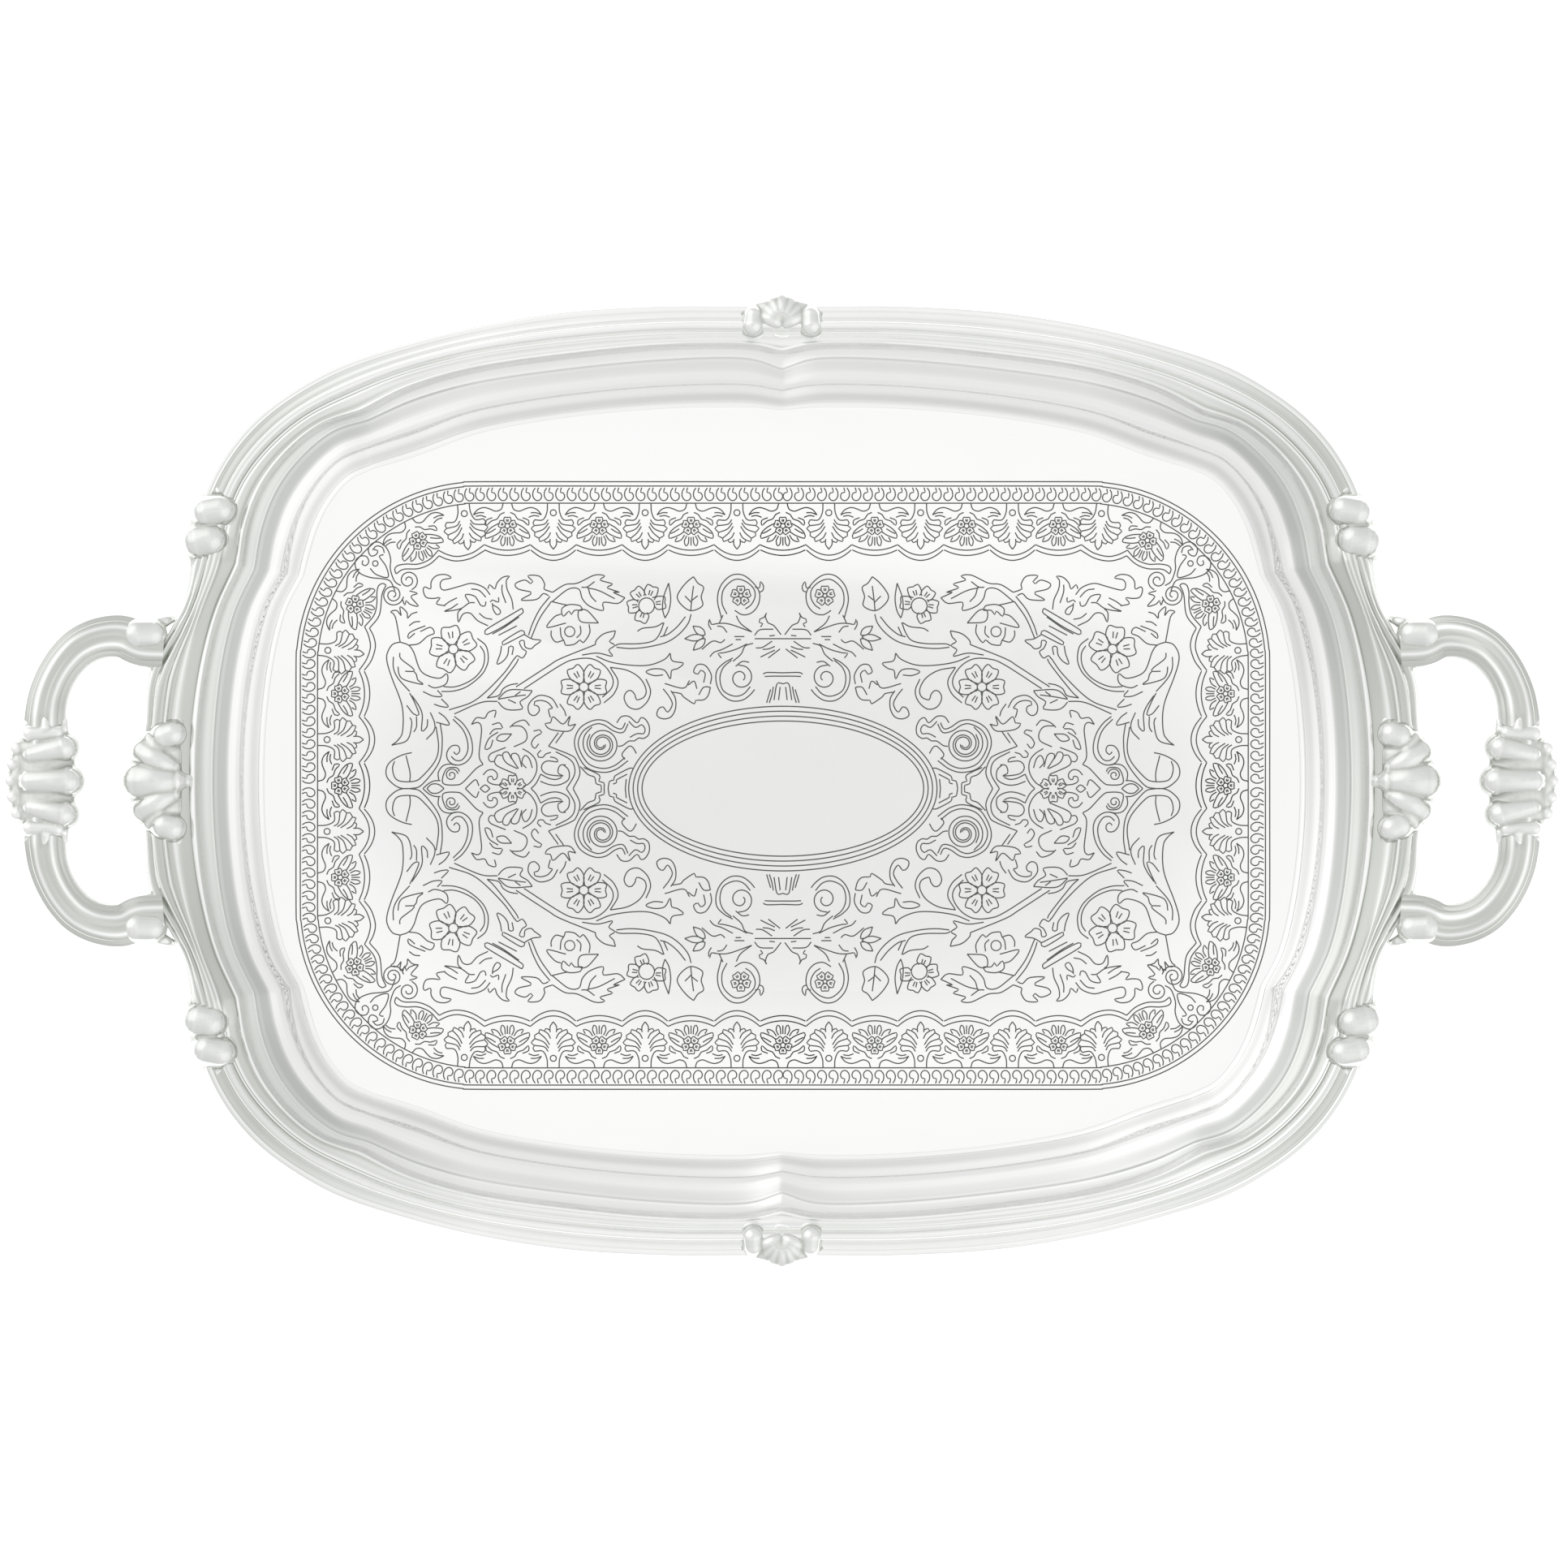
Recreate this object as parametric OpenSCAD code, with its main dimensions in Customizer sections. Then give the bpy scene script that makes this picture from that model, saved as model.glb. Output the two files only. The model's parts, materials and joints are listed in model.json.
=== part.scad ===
// Oblong serving tray with a stamped pan, an applied border cast in sections, shell and
// ball ornaments where the sections meet, and two loop handles screwed on from below.
// Frame: origin under the middle of the pan, +X to the right handle, +Y to the back, +Z up.

/* [Tray] */
// Length over the collars of the two handles
tray_length = 500; // [440:5:560]
// Thickness of the pan's sheet
sheet_t = 0.8; // [0.7:0.1:1.2]
// Height of the pan's flange above the table
flange_z = 16.5; // [15:0.5:20]

/* [Border] */
// Height of the border's round moulding above the flange
border_h = 8.5; // [7.5:0.5:10]
// How far the border's skirt hangs below the flange
skirt_drop = 2; // [1.5:0.5:4]

/* [Handles] */
// Height of the middle of the grip above the table
grip_z = 31.5; // [29:0.5:36]
// Thickness of the handle's loop, from top to bottom
grip_t = 9; // [8:0.5:10]
// Diameter of the screws that hold the handles
screw_d = 4; // [3:0.5:5]

/* [Hidden] */
k = tray_length / 500;
PLATE = [0.86, 0.87, 0.87];
BORDER = [0.78, 0.8, 0.77];
STEEL = [0.6, 0.6, 0.62];

// ---- Plan of the tray ----
// Guide curves of one quarter, from the middle of a long side to the middle of an end, at a
// length of 500. Knot n of one lies beside knot n of the others, and the tray mirrors them.
FLOOR = [[0, 120.6], [14, 121.6], [40, 121], [70, 118.2], [98, 113.2], [118, 106], [133, 101.5], [141, 97.5],
    [147, 90.5], [151, 82.5], [153.5, 74.5], [155.5, 67], [161.5, 55], [165.5, 38], [167.8, 19], [168.5, 0]];
LIP = [[0, 133.2], [13, 136.7], [40, 136], [70, 133.1], [98, 129], [118, 123.6], [133.5, 116.8], [145, 113],
    [155, 105], [163, 94.5], [168, 82], [170.5, 68.5], [177, 54.5], [181, 38], [183.2, 19], [183.9, 0]];
BEAD = [[0, 139.4], [13, 141.6], [40, 141.2], [70, 138.3], [98, 134.2], [120, 128], [136, 120], [149, 115.5],
    [160, 107], [168.5, 96], [173.5, 83.5], [175.8, 70], [182.5, 55], [186.8, 38], [189.3, 19], [190, 0]];
FILLET = [[0, 143.5], [14, 143.6], [40, 143.3], [70, 140.8], [98, 136.8], [121, 131], [138.5, 124],
    [153, 116.8], [164.5, 107.2], [173, 96.2], [178, 84], [180.5, 70.5], [187, 54.5], [192.5, 37], [196, 19],
    [197, 0]];
OUTER = [[0, 153.4], [14, 153.5], [40, 153.4], [70, 151.5], [98, 147.1], [122, 141.2], [143, 134.3],
    [159, 125.4], [171, 115.9], [180.5, 104], [187, 90], [190.3, 72], [193, 57], [203.5, 36], [205.3, 19],
    [205.5, 0]];
GUIDES = [FLOOR, LIP, BEAD, FILLET, OUTER];
// Distance of each guide outwards from the floor's edge, at the middle of a long side
GUIDE_W = [0, 16, 20.4, 22.4, 32.2];
OUTER_W = GUIDE_W[4];
LAST = len(OUTER) - 1;
// The knots where the inner guides have a corner; the outer two are smooth
CUSPS = [0, 6, 11];
CUSPED_GUIDES = 3;

function has(list, x) = len([for (v = list) if (v == x) v]) > 0;
function is_corner(n, i) = n < CUSPED_GUIDES && has(CUSPS, i);
function knot_before(n, i) = is_corner(n, i) ? 2 * GUIDES[n][i] - GUIDES[n][i + 1]
    : i == 0 ? [-GUIDES[n][1][0], GUIDES[n][1][1]] : GUIDES[n][i - 1];
function knot_after(n, i) = is_corner(n, i) ? 2 * GUIDES[n][i] - GUIDES[n][i - 1]
    : i == LAST ? [GUIDES[n][LAST - 1][0], -GUIDES[n][LAST - 1][1]] : GUIDES[n][i + 1];
// Catmull-Rom spline from b to c
function spline(a, b, c, d, u) = 0.5 * (2 * b + (c - a) * u + (2 * a - 5 * b + 4 * c - d) * u * u
    + (3 * b - a - 3 * c + d) * u * u * u);
function on_guide(n, t) = let (i = min(floor(t), LAST - 1))
    spline(knot_before(n, i), GUIDES[n][i], GUIDES[n][i + 1], knot_after(n, i + 1), t - i);
function guide_below(w) = w < GUIDE_W[1] ? 0 : w < GUIDE_W[2] ? 1 : w < GUIDE_W[3] ? 2 : 3;
// The point of the quarter beside knot t, w outwards from the floor's edge
function in_quarter(t, w) = let (n = guide_below(w), a = on_guide(n, t), b = on_guide(n + 1, t))
    k * (a + (b - a) * (w - GUIDE_W[n]) / (GUIDE_W[n + 1] - GUIDE_W[n]));
// Station s runs round the tray anticlockwise from the middle of the back, LAST to a quarter
LEFT = LAST;
RIGHT = 3 * LAST;
ROUND = 4 * LAST;
function plan(s, w) = let (q = floor(s / LAST) % 4, r = s - LAST * floor(s / LAST),
    p = in_quarter(q % 2 == 0 ? r : LAST - r, w)) [q < 2 ? -p[0] : p[0], q % 3 == 0 ? p[1] : -p[1]];

// Where one section of the border ends and the next begins, in the back right quarter
SIDE_SHELL_S = 0.93;
END_SHELL_S = 1.1;
END_RAIL_FROM = RIGHT + END_SHELL_S;
CLASP_FROM = RIGHT + 3.85;
CLASP_TO = RIGHT + 5.35;
SIDE_RAIL_TO = ROUND - SIDE_SHELL_S;

// ---- Solids ----
// Sides of a drilled hole or a shank, and of a washer or a screw's head
HOLE_FN = 32;
DISC_FN = 48;
// How far a cutter runs past what it cuts
PAST = 1;
// Walls between rings of points, all of the same count, closed by the first and last ring
module skin(rings) {
    cols = len(rings[0]);
    rows = len(rings);
    walls = [for (i = [0:rows - 2], j = [0:cols - 1]) let (a = i * cols + j, b = i * cols + (j + 1) % cols)
        each [[a, b, a + cols], [b, b + cols, a + cols]]];
    lids = [[for (j = [cols - 1:-1:0]) j], [for (j = [0:cols - 1]) (rows - 1) * cols + j]];
    polyhedron([for (r = rings) each r], concat(walls, lids), 10);
}
// A point of the border in space: beside station s, w outwards, z above the flange
function on_border(s, w, z) = [each plan(s, w), flange_z + z];
// The children in the corner of the tray where x and y have these signs, drawn for the back right
module in_corner(x, y) {
    scale([x, y, 1]) children();
}

// ---- Pan ----
// The pan's upper face, [outwards, height], from the floor's edge up the ogee wall to the flange
FLANGE_W = 30.4;
PAN_TOP = [[0, sheet_t], [1.6, sheet_t + 0.5], [3, 3.4], [6.8, 11.6], [8.4, 13.4], [12, 14.4], [16, flange_z],
    [FLANGE_W, flange_z]];
function unit(v) = v / norm(v);
function under(p, i) = let (d = unit(p[min(i + 1, len(p) - 1)] - p[i - 1])) p[i] + sheet_t * [d[1], -d[0]];
PAN_UNDER = [[1, 0], for (i = [1:len(PAN_TOP) - 1]) under(PAN_TOP, i)];
PAN_STEP = 0.5;
// The screws' places, on the four end rails
SCREW_S = 2.3;
SCREW_W = 25.5;
SCREW_HOLE_D = screw_d + 0.5;
module at_screws() {
    for (end = [LEFT, RIGHT], side = [-1, 1]) let (p = plan(end + side * SCREW_S, SCREW_W))
        translate([p[0], p[1], flange_z]) children();
}
module pan() {
    profile = concat(PAN_TOP, [for (i = [len(PAN_UNDER) - 1:-1:0]) PAN_UNDER[i]]);
    color(PLATE) difference() {
        skin([for (p = profile) [for (s = [0:PAN_STEP:ROUND - PAN_STEP]) [each plan(s, p[0]), p[1]]]]);
        at_screws() translate([0, 0, -sheet_t - PAST])
            cylinder(d = SCREW_HOLE_D, h = sheet_t + 2 * PAST, $fn = HOLE_FN);
    }
}

// ---- Border ----
// The border's section, [outwards, height above the flange], clockwise from the inner toe
HEEL_W = 28.6;
RAIL = [[16, 0], [16, 0.9], [17.2, 1.7], [18.6, 2.9], [19.8, 4.6], [20.4, 5.3], [21.2, 4.8], [22.4, 5.9],
    [24.2, 6.7], [25.7, border_h], [27.3, border_h - 0.2], [28.9, 6.4], [30.2, 6.1], [31.3, 6.7],
    [OUTER_W, 5.7], [OUTER_W, 4], [OUTER_W - 0.2, -skirt_drop], [FLANGE_W, -skirt_drop], [FLANGE_W, 0],
    [HEEL_W, 0], [HEEL_W - 0.8, 3.7], [25.5, 5], [21.5, 3.1], [18.3, 0]];
RAIL_STEP = 0.45;
// A flat end of a section, so that two sections meet face to face
function end_ring(s) = let (a = plan(s, RAIL[0][0]), b = plan(s, OUTER_W))
    [for (p = RAIL) [each a + (b - a) * (p[0] - RAIL[0][0]) / (OUTER_W - RAIL[0][0]), flange_z + p[1]]];
function middle_ring(s) = [for (p = RAIL) on_border(s, p[0], p[1])];
module border_section(from, to) {
    n = ceil((to - from) / RAIL_STEP);
    skin([end_ring(to), for (i = [n - 1:-1:1]) middle_ring(from + (to - from) * i / n), end_ring(from)]);
}
module side_rail(x, y) {
    color(BORDER) in_corner(x, y) border_section(CLASP_TO, SIDE_RAIL_TO);
}
module end_rail(x, y) {
    color(BORDER) in_corner(x, y) difference() {
        border_section(END_RAIL_FROM, CLASP_FROM);
        tongue(1, NOTCH_GAP);
    }
}

// ---- Ornaments ----
// Each is one casting: its stretch of the border with lobes and balls standing on it
LOBE_FN = 10;
// A lobe from the origin along +X, round at both ends
module lobe(reach, root_r, tip_r) {
    hull() {
        sphere(root_r, $fn = LOBE_FN);
        translate([reach - tip_r, 0, 0]) sphere(tip_r, $fn = LOBE_FN);
    }
}
// Lobes with their roots at the origin, opening like a fan towards +X. A fan is
// [number of lobes, angle between the outer two, reach, radius at the root, radius at the tip].
module fan(f) {
    for (i = [0:f[0] - 1]) rotate(f[1] * (i / (f[0] - 1) - 0.5)) lobe(k * f[2], f[3], f[4]);
}
// The children at [x, y] in plan, up at the middle height of the castings or lower by drop
module on_casting(x, y, drop = 0) {
    translate([k * x, k * y, flange_z + CASTING_Z - drop]) children();
}
CASTING_Z = 6.6;
// The shell in the middle of a long side, with a ball at either hand
SIDE_HINGE_Y = 146;
SIDE_FAN = [5, 96, 11.9, 1.5, 2.4];
SIDE_BODY = [3, 3, 2.9];
SIDE_BALL_AT = [9.5, 147];
SIDE_BALL = [6, 2, 3.8];
SIDE_BALL_TURN = 30;
module side_shell(y) {
    color(BORDER) in_corner(1, y) {
        border_section(SIDE_RAIL_TO, ROUND + SIDE_SHELL_S);
        on_casting(0, SIDE_HINGE_Y) {
            rotate(90) fan(SIDE_FAN);
            lobe(SIDE_BODY[0], SIDE_BODY[1], SIDE_BODY[2]);
        }
        for (x = [-1, 1]) on_casting(x * SIDE_BALL_AT[0], SIDE_BALL_AT[1])
            rotate(90 + x * SIDE_BALL_TURN) lobe(k * SIDE_BALL[0], SIDE_BALL[1], SIDE_BALL[2]);
    }
}
// The shell in the middle of an end, between the handle's roots, with a ball at either hand
END_HINGE_X = 192;
END_FAN = [5, 72, 21, 1.8, 3.4];
END_BODY = [4, 3.7, 3.6];
END_BALL_AT = [197.5, 14.5];
END_BALL = [9, 2.4, 5.8];
END_BALL_TURN = 60;
module end_shell(x) {
    color(BORDER) in_corner(x, 1) {
        border_section(RIGHT - END_SHELL_S, END_RAIL_FROM);
        on_casting(END_HINGE_X, 0) {
            fan(END_FAN);
            lobe(END_BODY[0], END_BODY[1], END_BODY[2]);
        }
        for (y = [-1, 1]) on_casting(END_BALL_AT[0], y * END_BALL_AT[1])
            rotate(-y * END_BALL_TURN) lobe(k * END_BALL[0], END_BALL[1], END_BALL[2]);
    }
}
// The two bosses of a corner clasp, each [x, y, direction] and its fan of lobes
CLASP_BOSSES = [[[178.5, 87.5, 12], [3, 70, 9, 2.4, 3.6]], [[180.5, 77, 6], [3, 70, 11.5, 2.4, 3.6]]];
// The clasp's lower scroll and the spur between the bosses, each [x, y] and then [reach, radii]
CLASP_SCROLL_AT = [189.2, 71.3];
CLASP_SCROLL = [8, 2.6, 2.6];
CLASP_SCROLL_TURN = 120;
CLASP_SPUR_AT = [184, 82.5];
CLASP_SPUR = [6, 3, 3];
module corner_clasp(x, y) {
    color(BORDER) in_corner(x, y) {
        border_section(CLASP_FROM, CLASP_TO);
        for (b = CLASP_BOSSES) on_casting(b[0][0], b[0][1]) rotate(b[0][2]) fan(b[1]);
        on_casting(CLASP_SCROLL_AT[0], CLASP_SCROLL_AT[1], 1) rotate(CLASP_SCROLL_TURN)
            lobe(k * CLASP_SCROLL[0], CLASP_SCROLL[1], CLASP_SCROLL[2]);
        on_casting(CLASP_SPUR_AT[0], CLASP_SPUR_AT[1])
            lobe(k * CLASP_SPUR[0], CLASP_SPUR[1], CLASP_SPUR[2]);
    }
}

// ---- Handles ----
// The loop's path from its root to the straight grip, [x, y, share of the climb, half its width]
LOOP = [[198, 44, 0, 8.2], [206.5, 44.2, 0.08, 7.9], [213, 46.6, 0.22, 7.6], [220, 46, 0.4, 7.2],
    [226, 43.1, 0.58, 7], [230.4, 38.6, 0.73, 6.8], [233.6, 33.3, 0.85, 6.7], [235.7, 27.6, 0.94, 6.8],
    [236.6, 22, 1, 7], [236.8, 17, 1, 7.2]];
LOOP_Z = flange_z + 5;
LOOP_SIDES = 12;
LOOP_END = len(LOOP) - 1;
GRIP_X = LOOP[LOOP_END][0];
GRIP_HALF_W = LOOP[LOOP_END][3];
RINGS_PER_KNOT = 2;
LOOP_RINGS = RINGS_PER_KNOT * LOOP_END;
function loop_knot(i) = LOOP[max(0, min(LOOP_END, i))];
function loop_at(t) = let (i = min(floor(t), LOOP_END - 1))
    spline(loop_knot(i - 1), loop_knot(i), loop_knot(i + 1), loop_knot(i + 2), t - i);
NEARBY = 0.1;
function loop_ring(t) = let (c = loop_at(t), ahead = loop_at(min(t + NEARBY, LOOP_END)),
    back = loop_at(max(t - NEARBY, 0)), d = unit([ahead[0] - back[0], ahead[1] - back[1]]))
    oval([k * c[0], k * c[1], LOOP_Z + (grip_z - LOOP_Z) * c[2]], [d[1], -d[0], 0], k * c[3], grip_t / 2);
function oval(c, side, half_w, half_h) = [for (j = [0:LOOP_SIDES - 1]) let (a = 360 * j / LOOP_SIDES)
    c + half_w * cos(a) * side + [0, 0, half_h * sin(a)]];
function flip_y(ring) = [for (p = ring) [p[0], -p[1], p[2]]];
module loop() {
    half = [for (i = [0:LOOP_RINGS]) loop_ring(i / RINGS_PER_KNOT)];
    skin(concat(half, [for (i = [LOOP_RINGS:-1:0]) flip_y(half[i])]));
}
// The handle's tongue lies on the flange, in a notch of the end rail's skirt
TONGUE = [18, 11, 3];
TONGUE_INNER_W = 22.5;
NOTCH_GAP = 0.15;
module tongue(side, gap) {
    a = plan(RIGHT + side * SCREW_S, TONGUE_INNER_W);
    b = plan(RIGHT + side * SCREW_S, OUTER_W);
    translate([a[0], a[1], flange_z]) rotate(atan2(b[1] - a[1], b[0] - a[0]))
        translate([-gap, -TONGUE[1] / 2 - gap, -gap]) cube(TONGUE + [2 * gap, 2 * gap, 2 * gap]);
}
module tapped_hole(side) {
    p = plan(RIGHT + side * SCREW_S, SCREW_W);
    translate([p[0], p[1], flange_z - PAST]) cylinder(d = screw_d, h = TONGUE[2] + 2 * PAST, $fn = HOLE_FN);
}
// The room that the border's end takes, for trimming the loop's roots to it
ROOM_REACH_S = 4;
ROOM_GAP = 0.05;
ROOM_BACK = [150, 70];
ROOM_HALF_H = 15;
module border_room() {
    translate([0, 0, LOOP_Z - ROOM_HALF_H]) linear_extrude(2 * ROOM_HALF_H)
        polygon([for (s = [-ROOM_REACH_S:PAN_STEP:ROOM_REACH_S]) plan(RIGHT + s, OUTER_W + ROOM_GAP),
            k * ROOM_BACK, k * [ROOM_BACK[0], -ROOM_BACK[1]]]);
}
module handle(x) {
    color(BORDER) in_corner(x, 1) difference() {
        union() {
            difference() {
                loop();
                border_room();
            }
            for (side = [-1, 1]) tongue(side, 0);
        }
        for (side = [-1, 1]) tapped_hole(side);
    }
}
// Half of the collar round the grip, [y, inner x, outer x, half height]
COLLAR = [[0, 223.5, 250, 7], [3, 224.4, 249.6, 6.9], [6, 226.7, 248.6, 6.6], [10, 225.3, 247.9, 6.4],
    [13.5, 227.2, 246.4, 6], [17, 229.2, 244.6, 5.2]];
function collar_ring(c, y) = oval([k * (c[1] + c[2]) / 2, y * k * c[0], grip_z], [1, 0, 0],
    k * (c[2] - c[1]) / 2, c[3]);
module grip_collar(x) {
    last = len(COLLAR) - 1;
    color(BORDER) in_corner(x, 1) difference() {
        skin([for (i = [-last:last]) collar_ring(COLLAR[abs(i)], sign(i))]);
        rotate([90, 0, 0]) linear_extrude(2 * k * (COLLAR[last][0] + PAST), center = true)
            polygon([for (p = oval([k * GRIP_X, 0, grip_z], [1, 0, 0], k * GRIP_HALF_W, grip_t / 2))
                [p[0], p[2]]]);
    }
}

// ---- Fasteners ----
// Diameter and thickness of a washer and of a screw's head, and width and depth of its slot
WASHER = [9, 0.8];
HEAD = [7, 2.2];
SLOT = [1, 0.9];
THREAD_GAP = 0.05;
// How far a screw's end stays below the top of the tongue
SCREW_SHORT = 0.4;
module handle_washers() {
    color(STEEL) at_screws() translate([0, 0, -sheet_t - WASHER[1]]) difference() {
        cylinder(d = WASHER[0], h = WASHER[1], $fn = DISC_FN);
        translate([0, 0, -PAST]) cylinder(d = SCREW_HOLE_D, h = WASHER[1] + 2 * PAST, $fn = HOLE_FN);
    }
}
module handle_screws() {
    head_z = -sheet_t - WASHER[1] - HEAD[1];
    color(STEEL) at_screws() difference() {
        translate([0, 0, head_z]) union() {
            cylinder(d = HEAD[0], h = HEAD[1], $fn = DISC_FN);
            cylinder(d = screw_d - THREAD_GAP, h = TONGUE[2] - head_z - SCREW_SHORT, $fn = HOLE_FN);
        }
        translate([0, 0, head_z]) cube([HEAD[0] + PAST, SLOT[0], 2 * SLOT[1]], center = true);
    }
}

pan();
side_rail(-1, 1);  // rail_back_left
side_rail(-1, -1);  // rail_front_left
side_rail(1, -1);  // rail_front_right
side_rail(1, 1);  // rail_back_right
end_rail(-1, 1);  // end_rail_back_left
end_rail(-1, -1);  // end_rail_front_left
end_rail(1, -1);  // end_rail_front_right
end_rail(1, 1);  // end_rail_back_right
side_shell(1);  // side_shell_back
side_shell(-1);  // side_shell_front
end_shell(-1);  // end_shell_left
end_shell(1);  // end_shell_right
corner_clasp(-1, 1);  // corner_clasp_back_left
corner_clasp(-1, -1);  // corner_clasp_front_left
corner_clasp(1, -1);  // corner_clasp_front_right
corner_clasp(1, 1);  // corner_clasp_back_right
handle(-1);  // handle_left
handle(1);  // handle_right
grip_collar(-1);  // grip_collar_left
grip_collar(1);  // grip_collar_right
handle_screws();
handle_washers();
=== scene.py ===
"""Looks for an oblong plated serving tray: a stamped pan with an engraved floor, a cast border
with shells and clasps, and two loop handles with collars. Lengths are in millimetres, except
those of the stage, its lights and its camera, which are in metres."""
import json
import math

import bpy
import numpy as np
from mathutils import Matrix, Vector


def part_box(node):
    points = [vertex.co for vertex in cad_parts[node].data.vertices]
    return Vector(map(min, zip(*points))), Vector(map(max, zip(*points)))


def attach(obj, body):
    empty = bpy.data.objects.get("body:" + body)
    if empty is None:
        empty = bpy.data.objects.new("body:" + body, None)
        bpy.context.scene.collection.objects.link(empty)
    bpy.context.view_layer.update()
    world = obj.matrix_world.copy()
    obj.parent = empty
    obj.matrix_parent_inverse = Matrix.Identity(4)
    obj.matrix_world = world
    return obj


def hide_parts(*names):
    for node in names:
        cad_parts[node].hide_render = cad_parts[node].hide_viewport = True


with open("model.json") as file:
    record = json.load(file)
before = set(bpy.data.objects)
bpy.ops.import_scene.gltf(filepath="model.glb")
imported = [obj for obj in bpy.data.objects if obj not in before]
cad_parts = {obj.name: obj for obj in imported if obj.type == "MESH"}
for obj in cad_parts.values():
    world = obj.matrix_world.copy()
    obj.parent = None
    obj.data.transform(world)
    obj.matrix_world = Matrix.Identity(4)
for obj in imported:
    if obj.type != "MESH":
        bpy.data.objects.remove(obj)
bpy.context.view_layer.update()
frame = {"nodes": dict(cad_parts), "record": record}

MM = 0.001
SHEET_T = 0.8
GRIP_HALF = 4.5
FLANGE_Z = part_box("pan")[1].z / MM
GRIP_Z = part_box("handle_left")[1].z / MM - GRIP_HALF

# ---------------------------------------------------------------- plan of the tray
# Guide curves of one quarter, from the middle of a long side to the middle of an end. Knot n
# of one lies beside knot n of the others: floor's edge, lip, bead, fillet and outer edge.
FLOOR = [(0, 120.6), (14, 121.6), (40, 121), (70, 118.2), (98, 113.2), (118, 106), (133, 101.5),
         (141, 97.5), (147, 90.5), (151, 82.5), (153.5, 74.5), (155.5, 67), (161.5, 55), (165.5, 38),
         (167.8, 19), (168.5, 0)]
LIP = [(0, 133.2), (13, 136.7), (40, 136), (70, 133.1), (98, 129), (118, 123.6), (133.5, 116.8),
       (145, 113), (155, 105), (163, 94.5), (168, 82), (170.5, 68.5), (177, 54.5), (181, 38),
       (183.2, 19), (183.9, 0)]
BEAD = [(0, 139.4), (13, 141.6), (40, 141.2), (70, 138.3), (98, 134.2), (120, 128), (136, 120),
        (149, 115.5), (160, 107), (168.5, 96), (173.5, 83.5), (175.8, 70), (182.5, 55), (186.8, 38),
        (189.3, 19), (190, 0)]
FILLET = [(0, 143.5), (14, 143.6), (40, 143.3), (70, 140.8), (98, 136.8), (121, 131), (138.5, 124),
          (153, 116.8), (164.5, 107.2), (173, 96.2), (178, 84), (180.5, 70.5), (187, 54.5), (192.5, 37),
          (196, 19), (197, 0)]
OUTER = [(0, 153.4), (14, 153.5), (40, 153.4), (70, 151.5), (98, 147.1), (122, 141.2), (143, 134.3),
         (159, 125.4), (171, 115.9), (180.5, 104), (187, 90), (190.3, 72), (193, 57), (203.5, 36),
         (205.3, 19), (205.5, 0)]
GUIDES = [np.array(guide, float) for guide in (FLOOR, LIP, BEAD, FILLET, OUTER)]
# Distance of each guide outwards from the floor's edge, at the middle of a long side
GUIDE_W = [0, 16, 20.4, 22.4, 32.2]
OUTER_W = GUIDE_W[-1]
# The knots where the inner guides have a corner; the outer two are smooth
CUSPS = (0, 6, 11)
CUSPED_GUIDES = 3
# Station s runs round the tray anticlockwise from the middle of the back, LAST to a quarter
LAST = len(OUTER) - 1
RIGHT = 3 * LAST
ROUND = 4 * LAST


def catmull(a, b, c, d, u):
    """A Catmull-Rom spline from b to c."""
    return 0.5 * (2 * b + (c - a) * u + (2 * a - 5 * b + 4 * c - d) * u ** 2
                  + (3 * b - a - 3 * c + d) * u ** 3)


def on_guide(n, t):
    """The point of guide n beside knot t, for an array of t."""
    knots = GUIDES[n]
    before = np.vstack([knots[1] * (-1, 1), knots[:-2], knots[LAST - 1]])
    after = np.vstack([knots[1], knots[2:], knots[LAST - 1] * (1, -1)])
    if n < CUSPED_GUIDES:
        for i in CUSPS:
            before[i] = 2 * knots[i] - knots[i + 1]
            if i > 0:
                after[i] = 2 * knots[i] - knots[i - 1]
    i = np.minimum(np.floor(t).astype(int), LAST - 1)
    return catmull(before[i], knots[i], knots[i + 1], after[i + 1], (t - i)[..., None])


def plan(s, w):
    """Plan points beside stations s and w outwards from the floor's edge: rows by columns by x, y."""
    s = np.asarray(s, float) % ROUND
    quarter = np.floor(s / LAST).astype(int)
    r = s - LAST * quarter
    t = np.where(quarter % 2 == 0, r, LAST - r)
    rails = np.stack([on_guide(n, t) for n in range(len(GUIDES))], axis=1)
    out = np.empty((len(s), len(w), 2))
    for j, wj in enumerate(w):
        n = min(np.searchsorted(GUIDE_W, wj, side="right") - 1, len(GUIDES) - 2)
        u = (wj - GUIDE_W[n]) / (GUIDE_W[n + 1] - GUIDE_W[n])
        out[:, j] = rails[:, n] * (1 - u) + rails[:, n + 1] * u
    out[..., 0] *= np.where(quarter < 2, -1, 1)[:, None]
    out[..., 1] *= np.where(quarter % 3 == 0, 1, -1)[:, None]
    return out


# ---------------------------------------------------------------- mesh helpers
def unit(rows):
    """Each row at a length of one."""
    return rows / np.maximum(np.linalg.norm(rows, axis=1), 0.001)[:, None]


def resample(rows, step):
    """Rows of [x, y, ...] as a smooth curve through them, with a point about every step."""
    rows = np.array(rows, float)
    padded = np.vstack([2 * rows[0] - rows[1], rows, 2 * rows[-1] - rows[-2]])
    out = [rows[0]]
    for i in range(len(rows) - 1):
        count = max(1, round(np.linalg.norm(rows[i + 1][:2] - rows[i][:2]) / step))
        for u in np.linspace(0, 1, count + 1)[1:]:
            out.append(catmull(*padded[i:i + 4], u))
    return np.array(out)


def raised(flat, heights):
    """Plan points with their heights, as rows by columns by x, y, z."""
    return np.concatenate([flat, np.broadcast_to(heights, flat.shape[:2])[..., None]], axis=2)


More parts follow.
